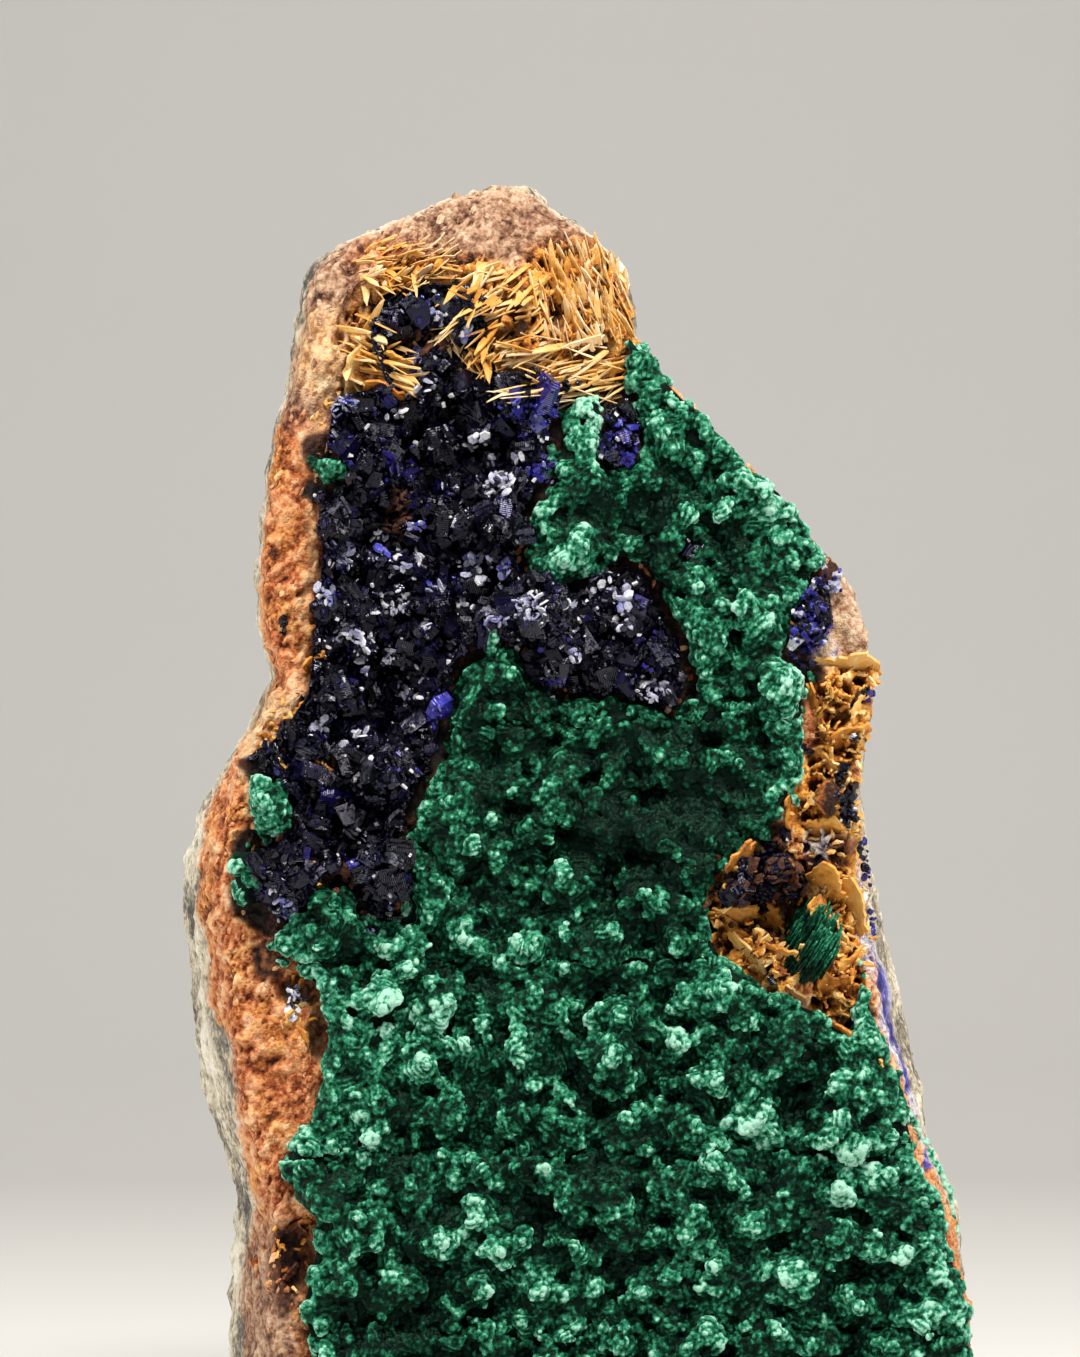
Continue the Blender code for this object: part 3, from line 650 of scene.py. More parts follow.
def at_edge(px, pz):
    """Whether the green crust ends within a lump's width of here."""
    around = [met(px + dx, pz + dz, ALL) for dx, dz in ((3, 0), (-3, 0), (0, 3), (0, -3))]
    return any(hit is None or hit[0] not in GREENS for hit in around)


def lump_at(px, pz, size, hit, rng, lift=0.2):
    """A placement for a lump, and what its skin needs to know of it.

    That is its size, the axis that its plates are stacked along, a number that picks granules
    or plates, and how much painted highlight it gets for standing at the border.
    """
    outward = (hit[2].normalized() + Vector((0.0, -0.6, 0.15))).normalized()
    basis = frame_of(outward, rng.uniform(0.0, 6.3), rng.uniform(0.0, 0.6), rng.uniform(0.0, 6.3))
    shape = scaled(basis, size * rng.uniform(0.85, 1.35), size * rng.uniform(0.7, 1.0),
                   size * rng.uniform(0.8, 1.1))
    place = hit[1] + outward * size * (lift + rng.uniform(-0.2, 0.2))
    place.y = max(place.y, FRONT_LIMIT + size)
    # Painted highlight inside the lit ovals, painted shade inside the shaded ones.
    pale = max(in_ovals(px, pz, LIT_GREEN), 0.0) - max(in_ovals(px, pz, SHADED_GREEN), 0.0)
    tint = 0.42 + 0.7 * pale + 0.45 * wave(px, 5.0, pz, 7.0) + rng.uniform(-0.2, 0.2)
    border = 0.6 if at_edge(px, pz) else 0.0
    return (rng.randrange(LUMP_KINDS), shape, place, clamped(tint), size, basis.col[0].copy(),
            rng.random(), border)


rng = random.Random(41)
set_lumps = []
# Each pass stands on the one before. One row a pass: pitch, smallest and largest size, the
# share of its size that a lump is lifted by, and the share of places that get one.
PASSES = ((6.2, 2.4, 3.7, -0.05, 1.0), (3.0, 1.2, 1.9, 0.1, 1.0), (2.2, 0.7, 1.15, 0.2, 0.8))
for number, (pitch, low, high, lift, share) in enumerate(PASSES):
    below = ["heap"] if number else []
    for px, pz in lattice(GREEN_BOX, pitch, 0.4, rng):
        ground = met(px, pz, ALL)
        size = rng.uniform(low, high) * (1.0 + 0.25 * wave(px, 0.0, pz, 15.0))
        if ground is None or ground[0] not in GREENS or in_ovals(px, pz, BLUE_BANDS) > 0.0:
            continue
        if rng.random() < share and not (number == 0 and at_edge(px, pz)):
            set_lumps.append(lump_at(px, pz, size, met(px, pz, below + ALL), rng, lift))
    trees["heap"] = tree_of(gathered("heap", lumps, [entry[:4] for entry in set_lumps]))
print("lumps in the passes:", len(set_lumps))

# %% [markdown]
# ### Thin and steep places
# The passes leave a few thin places where the dark bed would show, and a ray from the front
# misses the steep sides of the crust. Small lumps fill in both. Others stand alone on the
# rock near the crust and in the vug, and a row of them follows the ledge at the right.

# %% Thin and steep places
THIN_COVER = 0.6  # the bed comes through lumps that stand over it by less than this, in mm
FLANK_SPACING = 1.8  # millimetres between the lumps on the steep sides
LONE_LUMPS = ((-3.3, 143, 2.7), (-3.5, 146.5, 1.6), (-12.5, 132, 2), (-11, 129, 1.7),
              (9.8, 176, 1.5), (10.5, 173.5, 1.8), (8.5, 171, 1.8), (-1, 164.5, 1.8))
GREEN_LEDGE = ((42, 84), (42.8, 75), (44.7, 69.8), (47.4, 65), (50.7, 58.5),
               (54.5, 52.5), (57, 47.6), (58, 40))


def shows_bed(px, pz):
    """Whether the bed shows here, or is covered so thinly that it would come through."""
    ground, top = met(px, pz, ALL), met(px, pz, ["heap"])
    if ground is None or ground[0] not in GREENS:
        return False
    return top is None or ground[1].y - top[1].y < THIN_COVER


CROSS = ((0.0, 0.0), (0.5, 0.0), (-0.5, 0.0), (0.0, 0.5), (0.0, -0.5))
for px, pz in lattice(GREEN_BOX, 1.5, 0.3, rng):
    if all(shows_bed(px + dx, pz + dz) for dx, dz in CROSS):
        set_lumps.append(lump_at(px, pz, rng.uniform(0.9, 1.4), met(px, pz, ALL), rng, 0.3))
# Small lumps stray a little way over the border, onto the rock.
for px, pz in lattice((-52.0, 30.0, 60.0, 178.0), 1.9, 0.4, rng):
    hit = met(px, pz, SURFACES)
    if hit is None or hit[0] != "rock" or gap_to("green", hit[1] * MM, 3.0) > 1.8:
        continue
    if gap_to("blue", hit[1] * MM, 5.0) < 4.5 or rng.random() < 0.5:
        set_lumps.append(lump_at(px, pz, rng.uniform(0.8, 1.2), hit, rng))
for px, pz, size in LONE_LUMPS:
    set_lumps.append(lump_at(px, pz, size, met(px, pz, SURFACES), rng))
for (x0, z0), (x1, z1) in zip(GREEN_LEDGE, GREEN_LEDGE[1:]):
    for step in range(5):
        px, pz = x0 + (x1 - x0) * step / 5.0, z0 + (z1 - z0) * step / 5.0
        hit = met(px + rng.uniform(-0.3, 0.3), pz, SURFACES)
        set_lumps.append(lump_at(px, pz, rng.uniform(0.8, 1.2), hit, rng, 0.0))


def open_to(place, way):
    """Whether nothing stands within 20 mm of a place in the direction that it faces."""
    start = (place + 0.3 * way) * MM
    return all(trees[name].ray_cast(start, way, 20.0 * MM)[0] is None for name in SURFACES)


# On the steep sides the lumps are sown by area.
for name in GREENS:
    bm = loaded(nodes[name].data)
    bmesh.ops.triangulate(bm, faces=bm.faces)
    for face in bm.faces:
        wanted = face.calc_area() / (FLANK_SPACING * MM) ** 2 + rng.random()
        for _ in range(int(wanted) if -0.8 < face.normal.y < 0.35 else 0):
            u, v = sorted((rng.random(), rng.random()))
            a, b, c = [vert.co for vert in face.verts]
            place = (a * u + b * (v - u) + c * (1.0 - v)) / MM
            seen = met(place.x, place.z, SURFACES)
            shown = seen is None or seen[1].y > place.y - 2.0 or open_to(place, face.normal)
            if place.z > 2.0 and shown:
                set_lumps.append(lump_at(place.x, place.z, rng.uniform(0.8, 1.3),
                                         (name, place, face.normal.copy()), rng, 0.0))
    bm.free()
# The domes under the others carry no granules of their own.
surface_lumps = [entry for entry in set_lumps if entry[4] < 2.2]
print(len(set_lumps), "lumps")

# %% [markdown]
# ### Granules and plates
# A point on the skin belongs to the lump whose centre is nearest. In most lumps the surface
# is made of granules, and in the others of thin plates that stack along the lump's own axis.
# The real granules are 0.3 to 0.9 mm across. The smallest are finer than the faces, so these
# are about 1 mm, and the bump in the material carries the rest.
#
# Each point also keeps how far it stands out. The material turns this into painted light: a
# painted highlight on every crest and painted shade in every crease. It is measured against a
# much smoothed copy of the skin.

# %% Skin over the lumps
LUMP_VOXEL = 0.62
GRANULE_SIZE, GRANULE_HEIGHT = 0.95, 0.6
PLATE_PITCH, PLATE_HEIGHT = 1.0, 0.5
PLATED_SHARE = 0.22
# The painted highlight on a lump grows with its height above the bed and is full at CREST_AT.
CREST_AT = 4.0  # millimetres above the bed where a lump is palest
SOFTENING, CREST_HEIGHT = 40, 1.3


def crests(mesh, places, facing):
    """How far each point stands above its surroundings: 0 in a crease, 1 on a crest."""
    ends = np.empty(2 * len(mesh.edges), np.int32)
    mesh.edges.foreach_get("vertices", ends)
    a, b = ends.reshape(-1, 2).T
    near = np.bincount(np.concatenate((a, b)), minlength=len(places))[:, None]
    soft = places.copy()
    for _ in range(SOFTENING):
        total = [np.bincount(a, soft[b, k], len(places)) + np.bincount(b, soft[a, k], len(places))
                 for k in range(3)]
        soft = 0.5 * soft + 0.5 * np.stack(total, 1) / near
    return np.clip(0.5 + ((places - soft) * facing).sum(1) / CREST_HEIGHT, 0.0, 1.0)


def lump_skin(name, members, owners):
    """One skin over these lumps, with granules and plates raised on its front."""
    heap = gathered(name, lumps, [member[:4] for member in members])
    mesh = skin_of(heap, LUMP_VOXEL)
    bm = loaded(mesh)
    soften(bm)
    split_faces(bm, lambda face: face.normal.y < -0.1)
    cut_up(bm)
    bm.to_mesh(mesh)
    bm.free()
    centres = KDTree(len(owners))
    for number, member in enumerate(owners):
        centres.insert(member[2], number)
    centres.balance()
    places, facing = points_of(mesh) / MM, points_of(mesh, "normal")
    tone, tint = np.zeros(len(places)), np.zeros(len(places))
    for i, place in enumerate(places):
        p = Vector(place)
        centre, number, _ = centres.find(p)
        _, _, _, lump_tint, _, axis, kind, border = owners[number]
        if kind < PLATED_SHARE:
            along = axis.dot(p - centre) / PLATE_PITCH + 1.1 * noise.noise(p / 2.2)
            height = abs(math.sin(math.pi * along))
            height = 0.75 * height + 0.25 * (1.0 - noise.voronoi(p / 0.6)[0][0])
            places[i] += facing[i] * PLATE_HEIGHT * (height - 0.5)
        else:
            near = noise.voronoi(p / GRANULE_SIZE + Vector((9.0 * kind, 0.0, 0.0)))[0][0]
            height = 1.0 - 1.25 * near * near
            places[i] += facing[i] * GRANULE_HEIGHT * (height - 0.5)
        # A point is painted paler the higher it stands over the bed and at the border of the crust:
        # painted highlight above, painted shade low down and in the creases.
        raised = max(gap_to("green", p * MM, CREST_AT) / CREST_AT, border)
        tone[i], tint[i] = 0.2 * height + 0.3 * raised, lump_tint
    tone += 0.6 * crests(mesh, places, facing) - 0.05
    places[:, 2] = np.maximum(places[:, 2], 0.2)
    set_points(mesh, places)
    set_values(mesh, tone=tone, tint=tint)
    return mesh


# %% Malachite material
# Fibrous malachite: silky and deep green, with painted shade in its creases and a painted
# mint highlight on its crests.
malachite = new_material("fibrous_malachite", Roughness=0.45, Specular_IOR_Level=0.18,
                         Specular_Tint=linear("#8fe0b8"))
coordinates = add(malachite, "TexCoord", output="Object")
tone = add(malachite, "Attribute", output="Fac", attribute_name="tone")
tint = add(malachite, "Attribute", output="Fac", attribute_name="tint")
specks = add(malachite, "TexNoise", {"Vector": coordinates, "Scale": 0.5 / (0.3 * MM),
                                     "Detail": 2.0, "Roughness": 0.6})
clouds = add(malachite, "TexNoise", {"Vector": coordinates, "Scale": 0.5 / (1.6 * MM),
                                     "Detail": 3.0, "Roughness": 0.6})
level = -1.34
for part, weight in ((tone, 1.35), (tint, 0.58), (specks, 0.95), (clouds, 0.6)):
    level = add(malachite, "Math", {0: part, 1: weight, 2: level}, operation="MULTIPLY_ADD")
green = add(malachite, "ValToRGB", {"Fac": level}, stops=(
    (0.1, "#010504"), (0.27, "#02160d"), (0.42, "#093523"), (0.57, "#185a3f"),
    (0.74, "#3f8a6b"), (0.95, "#96c6b0")))
bump = add(malachite, "Bump", {"Height": specks, "Strength": 1.0, "Distance": 0.25 * MM})
feed(malachite, Base_Color=green, Normal=bump)

# The dark crust that the lumps stand on: the same mineral, massive and without its fibres.
# It shows only in the gaps between the lumps, and its near-black is partly painted shade.
bed = new_material("massive_malachite", Roughness=0.7, Specular_IOR_Level=0.1)
coordinates = add(bed, "TexCoord", output="Object")
rough = add(bed, "TexNoise", {"Vector": coordinates, "Scale": 0.5 / (0.8 * MM), "Detail": 4.0,
                              "Roughness": 0.7})
green = add(bed, "ValToRGB", {"Fac": rough}, stops=(
    (0.35, "#010503"), (0.55, "#031a11"), (0.75, "#0b4029")))
bump = add(bed, "Bump", {"Height": rough, "Strength": 1.0, "Distance": 1.0 * MM})
feed(bed, Base_Color=green, Normal=bump)
coat(GREENS, bed)
print("made", malachite.name, "and", bed.name)

# %% Malachite crust in five bands
BANDS = (("lowest", 0, 30), ("lower", 30, 56), ("middle", 56, 84),
         ("upper", 84, 120), ("highest", 120, 202))
for band, low, high in BANDS:
    members = [entry for entry in set_lumps if low <= entry[2].z < high]
    name = f"malachite_lumps_{band}"
    put_out(name, lump_skin(name, members, surface_lumps), malachite, True)

# %% [markdown]
# ## Azurite
# Azurite crystals are monoclinic blocks with many small faces, often in stacks that grew side
# by side. They are so deep a blue that in the mass they look black, and only thin edges and
# small crystals show royal blue. A block is a cube with its corners cut away by planes, and
# a stack is a few such tablets side by side. Flat shading keeps each face a mirror.


# %% Azurite crystals
def cut_block(bm, size, at, rng, cuts):
    """A box with some of its corners and edges cut off by planes, closed again."""
    made = bmesh.ops.create_cube(bm, size=2.0)["verts"]
    for _ in range(cuts):
        normal = Vector([rng.choice((-1.0, 1.0)) * rng.uniform(0.25, 1.0) for _ in range(3)])
        if rng.random() < 0.55:
            normal[rng.randrange(3)] = 0.0
        normal.normalize()
        geom = dict.fromkeys(made)
        geom.update(dict.fromkeys(edge for vert in made for edge in vert.link_edges))
        geom.update(dict.fromkeys(face for vert in made for face in vert.link_faces))
        reach = sum(abs(part) for part in normal)
        cut = bmesh.ops.bisect_plane(
            bm, geom=list(geom), plane_co=normal * reach * rng.uniform(0.58, 0.8),
            plane_no=normal, clear_outer=True)["geom_cut"]
        edges = [item for item in cut if isinstance(item, bmesh.types.BMEdge)]
        bmesh.ops.contextual_create(bm, geom=edges)
        made = [vert for vert in made if vert.is_valid]
        made += [item for item in cut if isinstance(item, bmesh.types.BMVert)]
    bmesh.ops.transform(
        bm, matrix=Matrix.Translation(at) @ Matrix.Diagonal((*size, 1.0)), verts=made)


def crystal_block(seed, cuts=5):
    rng = random.Random(seed)
    bm = bmesh.new()
    size = (1.0, rng.uniform(0.6, 0.9), rng.uniform(0.7, 1.0))
    cut_block(bm, size, (0.0, 0.0, 0.0), rng, cuts)
    return template(bm)


def crystal_stack(seed):
    """Tablets side by side along Y, each a little out of line with the last."""
    rng = random.Random(seed)
    bm = bmesh.new()
    at = -0.7
    while at < 0.6:
        thick = rng.uniform(0.13, 0.26)
        size = (rng.uniform(0.65, 1.0), thick, rng.uniform(0.6, 1.0))
        cut_block(bm, size, (rng.uniform(-0.15, 0.15), at + thick, rng.uniform(-0.12, 0.12)),
                  rng, 2)
        at += 1.7 * thick
    return template(bm)


crystals = [crystal_block(seed) for seed in range(8)] + [crystal_stack(seed) for seed in range(6)]
glints = [crystal_block(60 + seed, 2) for seed in range(5)]
print("crystal triangles:", [len(entry[1]) for entry in crystals])

# %% Azurite material
# Azurite crystal: glassy faces over a blue so deep that it is nearly black. The highest tints
# are pale lavender and grey: a painted highlight, for crystals that catch the light.
azurite = new_material("azurite_crystal", IOR=1.73, Specular_IOR_Level=0.3,
                       Specular_Tint=linear("#dcdcf2"))
coordinates = add(azurite, "TexCoord", output="Object")
tint = add(azurite, "Attribute", output="Fac", attribute_name="tint")
along = add(azurite, "Attribute", output="Fac", attribute_name="along")
clouds = add(azurite, "TexNoise", {"Vector": coordinates, "Scale": 0.5 / (0.9 * MM),
                                   "Detail": 3.0, "Roughness": 0.65})
share = add(azurite, "Math", {0: clouds, 1: 0.5, 2: -0.25}, operation="MULTIPLY_ADD")
share = add(azurite, "Math", {0: share, 1: tint}, operation="ADD")
blue = add(azurite, "ValToRGB", {"Fac": share}, stops=(
    (0.0, "#010103"), (0.22, "#04030c"), (0.42, "#0d0a2a"), (0.58, "#1d1768"),
    (0.7, "#393aa0"), (0.82, "#8587a6"), (0.98, "#cfcfd4")))
# Growth lines are finer than this on the real faces; these are just wide enough to show.
LINE_PITCH = 0.3
lines = add(azurite, "Math", {0: along, 1: 2.0 * math.pi / LINE_PITCH}, operation="MULTIPLY")
lines = add(azurite, "Math", {0: lines}, operation="SINE")
height = add(azurite, "Math", {0: lines, 1: 0.12, 2: clouds}, operation="MULTIPLY_ADD")
bump = add(azurite, "Bump", {"Height": height, "Strength": 0.8, "Distance": 0.3 * MM})
gloss = add(azurite, "MapRange", {"Value": clouds, 1: 0.35, 2: 0.65, 3: 0.06, 4: 0.26})
feed(azurite, Base_Color=blue, Roughness=gloss, Normal=bump)

# The druse under the large crystals: crystals too small to see one by one, almost black.
druse = new_material("azurite_druse", Specular_IOR_Level=0.2, Roughness=0.35)
coordinates = add(druse, "TexCoord", output="Object")
cells = add(druse, "TexVoronoi", {"Vector": coordinates, "Scale": 1.0 / (0.8 * MM)})
blue = add(druse, "ValToRGB", {"Fac": cells}, stops=(
    (0.1, "#0c0a30"), (0.4, "#05041a"), (0.8, "#010106")))
bump = add(druse, "Bump", {"Height": cells, "Strength": 1.0, "Distance": 0.8 * MM}, invert=True)
feed(druse, Base_Color=blue, Normal=bump)
coat(BLUES, druse)
print("made", azurite.name, "and", druse.name)

# %% Setting the crystals
TOP_CLUSTERS = ((-22, 182.3, 3.2, 2.8), (-27.7, 179.8, 2.4, 3), (-16, 178.3, 1.8, 2),
                (-22.3, 173, 3, 5), (-9.5, 171.5, 2, 1.6), (-32, 170, 4, 2.5))
TOP_CAVITY = 170.5  # above this height the vug holds only a few clusters
BARE_PATCHES = ((-27.5, 150, 2.6, 5), (-34, 96, 3.5, 2.5), (-23, 176.5, 3.5, 2),
                (27, 94, 8, 8))
ROYAL_CRYSTALS = ((-3, 166, 8.5, 4.5), (-5.5, 156.5, 3, 3), (6.5, 161, 3.5, 5),
                  (-20.5, 121.5, 2, 3), (34.2, 133.8, 2, 5.4))
SPECK_ZONES = ((40.2, 108.6, 2, 4.8), (43.9, 124, 1.5, 1.5), (41.5, 117.5, 1.4, 1.5),
               (33.6, 115.5, 1.3, 1.4), (43, 100.5, 1, 4), (-47, 114, 2, 2),
               (23.4, 95.5, 2.6, 3.4), (29.6, 102, 2.2, 1.4), (35.2, 98, 1.4, 1.2),
               (28.5, 92.5, 1.6, 1.4),
               (43, 123.2, 1, 1.4), (29.8, 81.5, 1.4, 1), (44.2, 97, 1.2, 3),
               (45, 88.5, 1, 2.5), (-45.8, 112.5, 1.2, 1.2), (-44, 134, 1, 1),
               (-28, 179.5, 2.5, 2), (-16, 178.5, 1.6, 1.6), (-42, 79, 2, 2))


def crystal_at(px, pz, size, hit, rng, kinds):
    """A placement for a crystal: nearly black, but in some places bright blue or pale."""
    outward = (hit[2].normalized() + Vector((0.0, -0.8, 0.1))).normalized()
    basis = frame_of(outward, rng.uniform(0.0, 6.3), rng.uniform(0.0, 1.2), rng.uniform(0.0, 6.3))
    shape = scaled(basis, size * rng.uniform(0.8, 1.3), size * rng.uniform(0.7, 1.0), size)
    tint = rng.choice((0.02, 0.05, 0.1, 0.15, 0.25, 0.35))
    if in_ovals(px, pz, ROYAL_CRYSTALS) > rng.uniform(-0.1, 0.6):
        tint = rng.uniform(0.45, 0.74)
    # In the pocket at the upper right the tints reach the pale end: a painted highlight on some
    # crystals.
    elif px > 25.0 and pz > 125.0:
        tint = rng.uniform(0.3, 0.95)
    elif rng.random() < 0.05:
        tint = rng.uniform(0.45, 0.6)
    return (rng.randrange(len(kinds)), shape, hit[1] + outward * rng.uniform(-0.3, 0.5) * size,
            tint)


def carries_azurite(px, pz, hit):
    """Whether crystals stand here: on the blue crusts, up to their edges, and in the bands."""
    if hit is None or in_ovals(px, pz, BARE_PATCHES) > 0.1:
        return False
    if hit[0] == "azurite_edge_patch" and in_ovals(px, pz, ROYAL_CRYSTALS) < -0.5:
        return False
    if pz > TOP_CAVITY and hit[0] in BLUES:
        return in_ovals(px, pz, TOP_CLUSTERS) > 0.0
    banded = in_ovals(px, pz, BLUE_BANDS) > 0.0 and hit[0] in GREENS
    if hit[0] in BLUES or banded:
        return True
    reach = 2.0 if gap_to("green", hit[1] * MM, 5.0) < 4.5 else 0.4
    return hit[0] == "rock" and gap_to("blue", hit[1] * MM, 2.5) < reach


def by_the_rim(px, pz):
    """Whether bare rock, or nothing at all, is met 2 mm away at either side."""
    sides = [met(px + dx, pz, ALL) for dx in (-2.0, 2.0)]
    return any(hit is None or hit[0] == "limonite_rock" for hit in sides)


SIDE_FROM = 43.5  # the specks right of this are smaller, and all royal blue
VUG_BOX = (-52, 72, 46, 190)  # x and z of its corners
# One row a pass: pitch, smallest and largest size.
CRYSTAL_PASSES = ((4.6, 1.5, 2.2), (2.3, 0.9, 1.6), (1.6, 0.5, 0.9))
rng = random.Random(73)
blocks = []
for pitch, low, high in CRYSTAL_PASSES:
    for px, pz in lattice(VUG_BOX, pitch, 0.42, rng):
        hit = met(px, pz, SURFACES)
        if carries_azurite(px, pz, hit):
            large = hit[0] == "azurite_crystals" and not by_the_rim(px, pz)
            size = rng.uniform(low, high) * (1.0 if large else 0.6)
            blocks.append(crystal_at(px, pz, size, hit, rng, crystals))
for px, pz in lattice((-62.0, 60.0, 60.0, 190.0), 1.1, 0.9, rng):
    if in_ovals(px, pz, SPECK_ZONES) > rng.uniform(-0.1, 0.4):
        hit = met(px, pz, SURFACES)
        if hit is not None:
            entry = crystal_at(px, pz, rng.uniform(0.35, 0.8), hit, rng, crystals)
            at_side = px > SIDE_FROM
            blocks.append((entry[0], 0.6 * entry[1], entry[2], 0.6) if at_side else entry)
trees["crystals"] = tree_of(
    put_copies("azurite_crystal_crust", crystals, blocks, azurite))

# %% [markdown]
# ### Glints
# Between and on the large crystals sit very many that are under a millimetre. They are the
# points of light that make the vug sparkle. In some places the thin edges of a stack catch
# the light together. There a fan of small plates stands on the crystals, and their pale
# colour is a painted highlight.

# %% Small crystals
def tablet(seed):
    """A thin six-sided plate with a radius of 1, lying flat; a fan tilts its copies."""
    bm = bmesh.new()
    bmesh.ops.create_cone(bm, cap_ends=True, segments=6, radius1=1.0, radius2=0.8, depth=0.4)
    squash = Matrix.Diagonal((1.0, 0.55 + 0.12 * seed, 1.0, 1.0))
    bmesh.ops.transform(bm, matrix=squash @ Matrix.Rotation(0.4 * seed, 4, "Z"), verts=bm.verts)
    return template(bm)


tablets = [tablet(seed) for seed in range(4)]
FANS = (
    # x, z, width, height, paleness
    (-34.8, 167.1, 3.6, 2.6, 0.86), (-27.2, 166.3, 2.8, 1.2, 1), (-18.6, 165, 1.2, 1.2, 1),
    (-15, 162.1, 3.6, 1.5, 1), (-12.3, 159.4, 1.8, 1.6, 0.95), (-9, 159.1, 1.3, 0.8, 1),
    (-14.7, 156.4, 1.8, 1, 0.85), (-18.9, 154.5, 2.8, 1.8, 0.85), (-11.2, 155.7, 3.4, 3, 1),
    (-13.5, 154.2, 2, 1.6, 1), (-3.9, 157.2, 2.4, 2.8, 0.84), (-19.5, 150.4, 1.4, 1.2, 1),
    (-18, 149.5, 1, 1, 1), (-24.1, 149.7, 2.4, 1.8, 0.8), (-29.7, 148, 1.6, 1.6, 1),
    (-35.4, 144.8, 4, 3.4, 0.92), (-29.7, 145.3, 3, 2, 0.85), (-25.3, 144.2, 3.4, 2.8, 0.97),
    (-15.3, 143, 5, 3.8, 0.93), (-10.6, 143, 1.4, 3, 0.85), (-27.7, 137.9, 4.6, 3.4, 0.97),
    (-17.4, 138.2, 1.8, 1.8, 1), (-21, 139.8, 2.4, 1.4, 0.85), (-6.4, 138.9, 1.6, 1.2, 1),
    (-7, 136.8, 4.6, 2.4, 0.95), (-0.9, 136.8, 2.2, 1.6, 0.97), (-12.4, 135, 3.6, 1.4, 0.87),
    (4, 141, 2.8, 2.6, 0.95), (6.8, 138, 2.6, 3.6, 0.95), (7, 134.7, 2.8, 1.8, 0.98),
    (-35.4, 133, 4, 1.8, 0.97), (-31.5, 132.5, 2.6, 1.8, 0.95), (-32.4, 129.7, 1.6, 1.3, 1),
    (-22.6, 134.2, 1.6, 1, 0.95), (-24.2, 123.8, 1.8, 1.2, 1), (-26.2, 124.5, 1.4, 1.6, 0.92),
    (-31.2, 126.8, 1.4, 1.4, 0.95), (-37.6, 138.8, 2.8, 2.6, 0.86), (-0.3, 129.8, 2.2, 1.4, 0.93),
    (11, 124.6, 5.6, 3, 0.93), (-4, 123.4, 1.6, 1.2, 0.95), (-38.4, 119.6, 1.6, 1.6, 0.93),
    (-32.6, 118.5, 2, 1.6, 1), (-30.2, 114.2, 1.3, 1.2, 0.97), (-34.5, 116.3, 1.6, 1.2, 0.9),
    (-22.5, 171, 2.6, 2.8, 0.97), (-21, 181, 1.6, 2.2, 0.9), (-26.9, 181.2, 2.2, 1.2, 0.92),
    (-15.9, 178.2, 1.7, 1.6, 0.8), (-44.4, 95.4, 2.4, 1, 1), (-41.9, 79.5, 1.8, 1.4, 1),
    (-42, 76.4, 1.6, 1.4, 1), (-43, 92, 3.2, 3.4, 0.88), (-30.5, 88.6, 3, 3, 0.86),
)
PLATE_SPACING = 0.75  # millimetres between the plates of a fan
SPARK_SPACING = 0.95  # millimetres between the smallest crystals
rng = random.Random(29)
sparks = []
for px, pz in lattice(VUG_BOX, SPARK_SPACING, 0.45, rng):
    hit = met(px, pz, ["crystals"] + ALL)
    if hit is None or hit[0] not in ("crystals", *BLUES) or rng.random() < 0.35:
        continue
    if in_ovals(px, pz, BARE_PATCHES) > 0.1:
        continue
    entry = crystal_at(px, pz, rng.uniform(0.16, 0.4), hit, rng, glints)
    # One spark in twenty gets the palest tint: a painted glint.
    sparks.append((*entry[:3], 1.0) if rng.random() < 0.05 else entry)
fans = []
for px, pz, wide, high, paleness in FANS:
    turn = Matrix.Rotation(rng.uniform(0.0, 3.14), 3, "Z") @ Matrix.Rotation(
        rng.uniform(0.5, 1.2), 3, "X")
    box = (px - wide / 2.0, pz - high / 2.0, px + wide / 2.0, pz + high / 2.0)
    for fx, fz in lattice(box, PLATE_SPACING, 0.3, rng):
        hit = met(fx, fz, ["crystals"] + SURFACES)
        if rng.random() < 0.25:
            continue
        lean = frame_of((0.0, -1.0, 0.25), 0.0, rng.gauss(0.0, 0.2), rng.uniform(0.0, 6.3))
        size = rng.uniform(0.35, 1.0)
        fans.append((rng.randrange(len(tablets)), scaled(lean @ turn, size, size, 0.7 * size),
                     hit[1] + Vector((0.0, -0.3, 0.0)),
                     rng.choice((paleness, paleness - 0.05, paleness - 0.1, 0.3))))
put_copies("azurite_small_crystals", glints, sparks, azurite)
put_copies("azurite_pale_fans", tablets, fans, azurite)

# %% [markdown]
# ## Limonite blades and boxwork
# Above the vug the limonite stands in sheaves of flat, pointed blades, and on the right it
# makes thin walls round empty cells. A blade is a ring of six points drawn out and narrowed
# in steps; a wall is a small sheet that is crumpled and given its thickness.


# %% Blades and walls
def blade(seed):
    """A flat blade one long, with its foot at the origin, pointed at the far end."""
    rng = random.Random(seed)
    bm = bmesh.new()
    ring = bmesh.ops.create_circle(bm, cap_ends=True, segments=6, radius=1.0)["verts"]
    bmesh.ops.scale(bm, verts=ring, vec=(0.9, 0.24, 1.0))
    face = bm.faces[:][0]
    for step, width in ((0.3, 1.1), (0.3, 0.85), (0.25, 0.6), (0.15, 0.25)):
        face = bmesh.ops.extrude_discrete_faces(bm, faces=[face])["faces"][0]
        bmesh.ops.translate(
            bm, verts=face.verts, vec=(rng.uniform(-0.15, 0.15), rng.uniform(-0.06, 0.06), step))
        centre = face.calc_center_median()
        bmesh.ops.scale(bm, verts=face.verts, vec=(width, rng.uniform(0.85, 1.1), 1.0),
                        space=Matrix.Translation(-centre))
    for vert in bm.verts:
        vert.co += 0.08 * noise.noise_vector(vert.co * 4.0 + Vector((seed, 0.0, 0.0)))
    return template(bm)


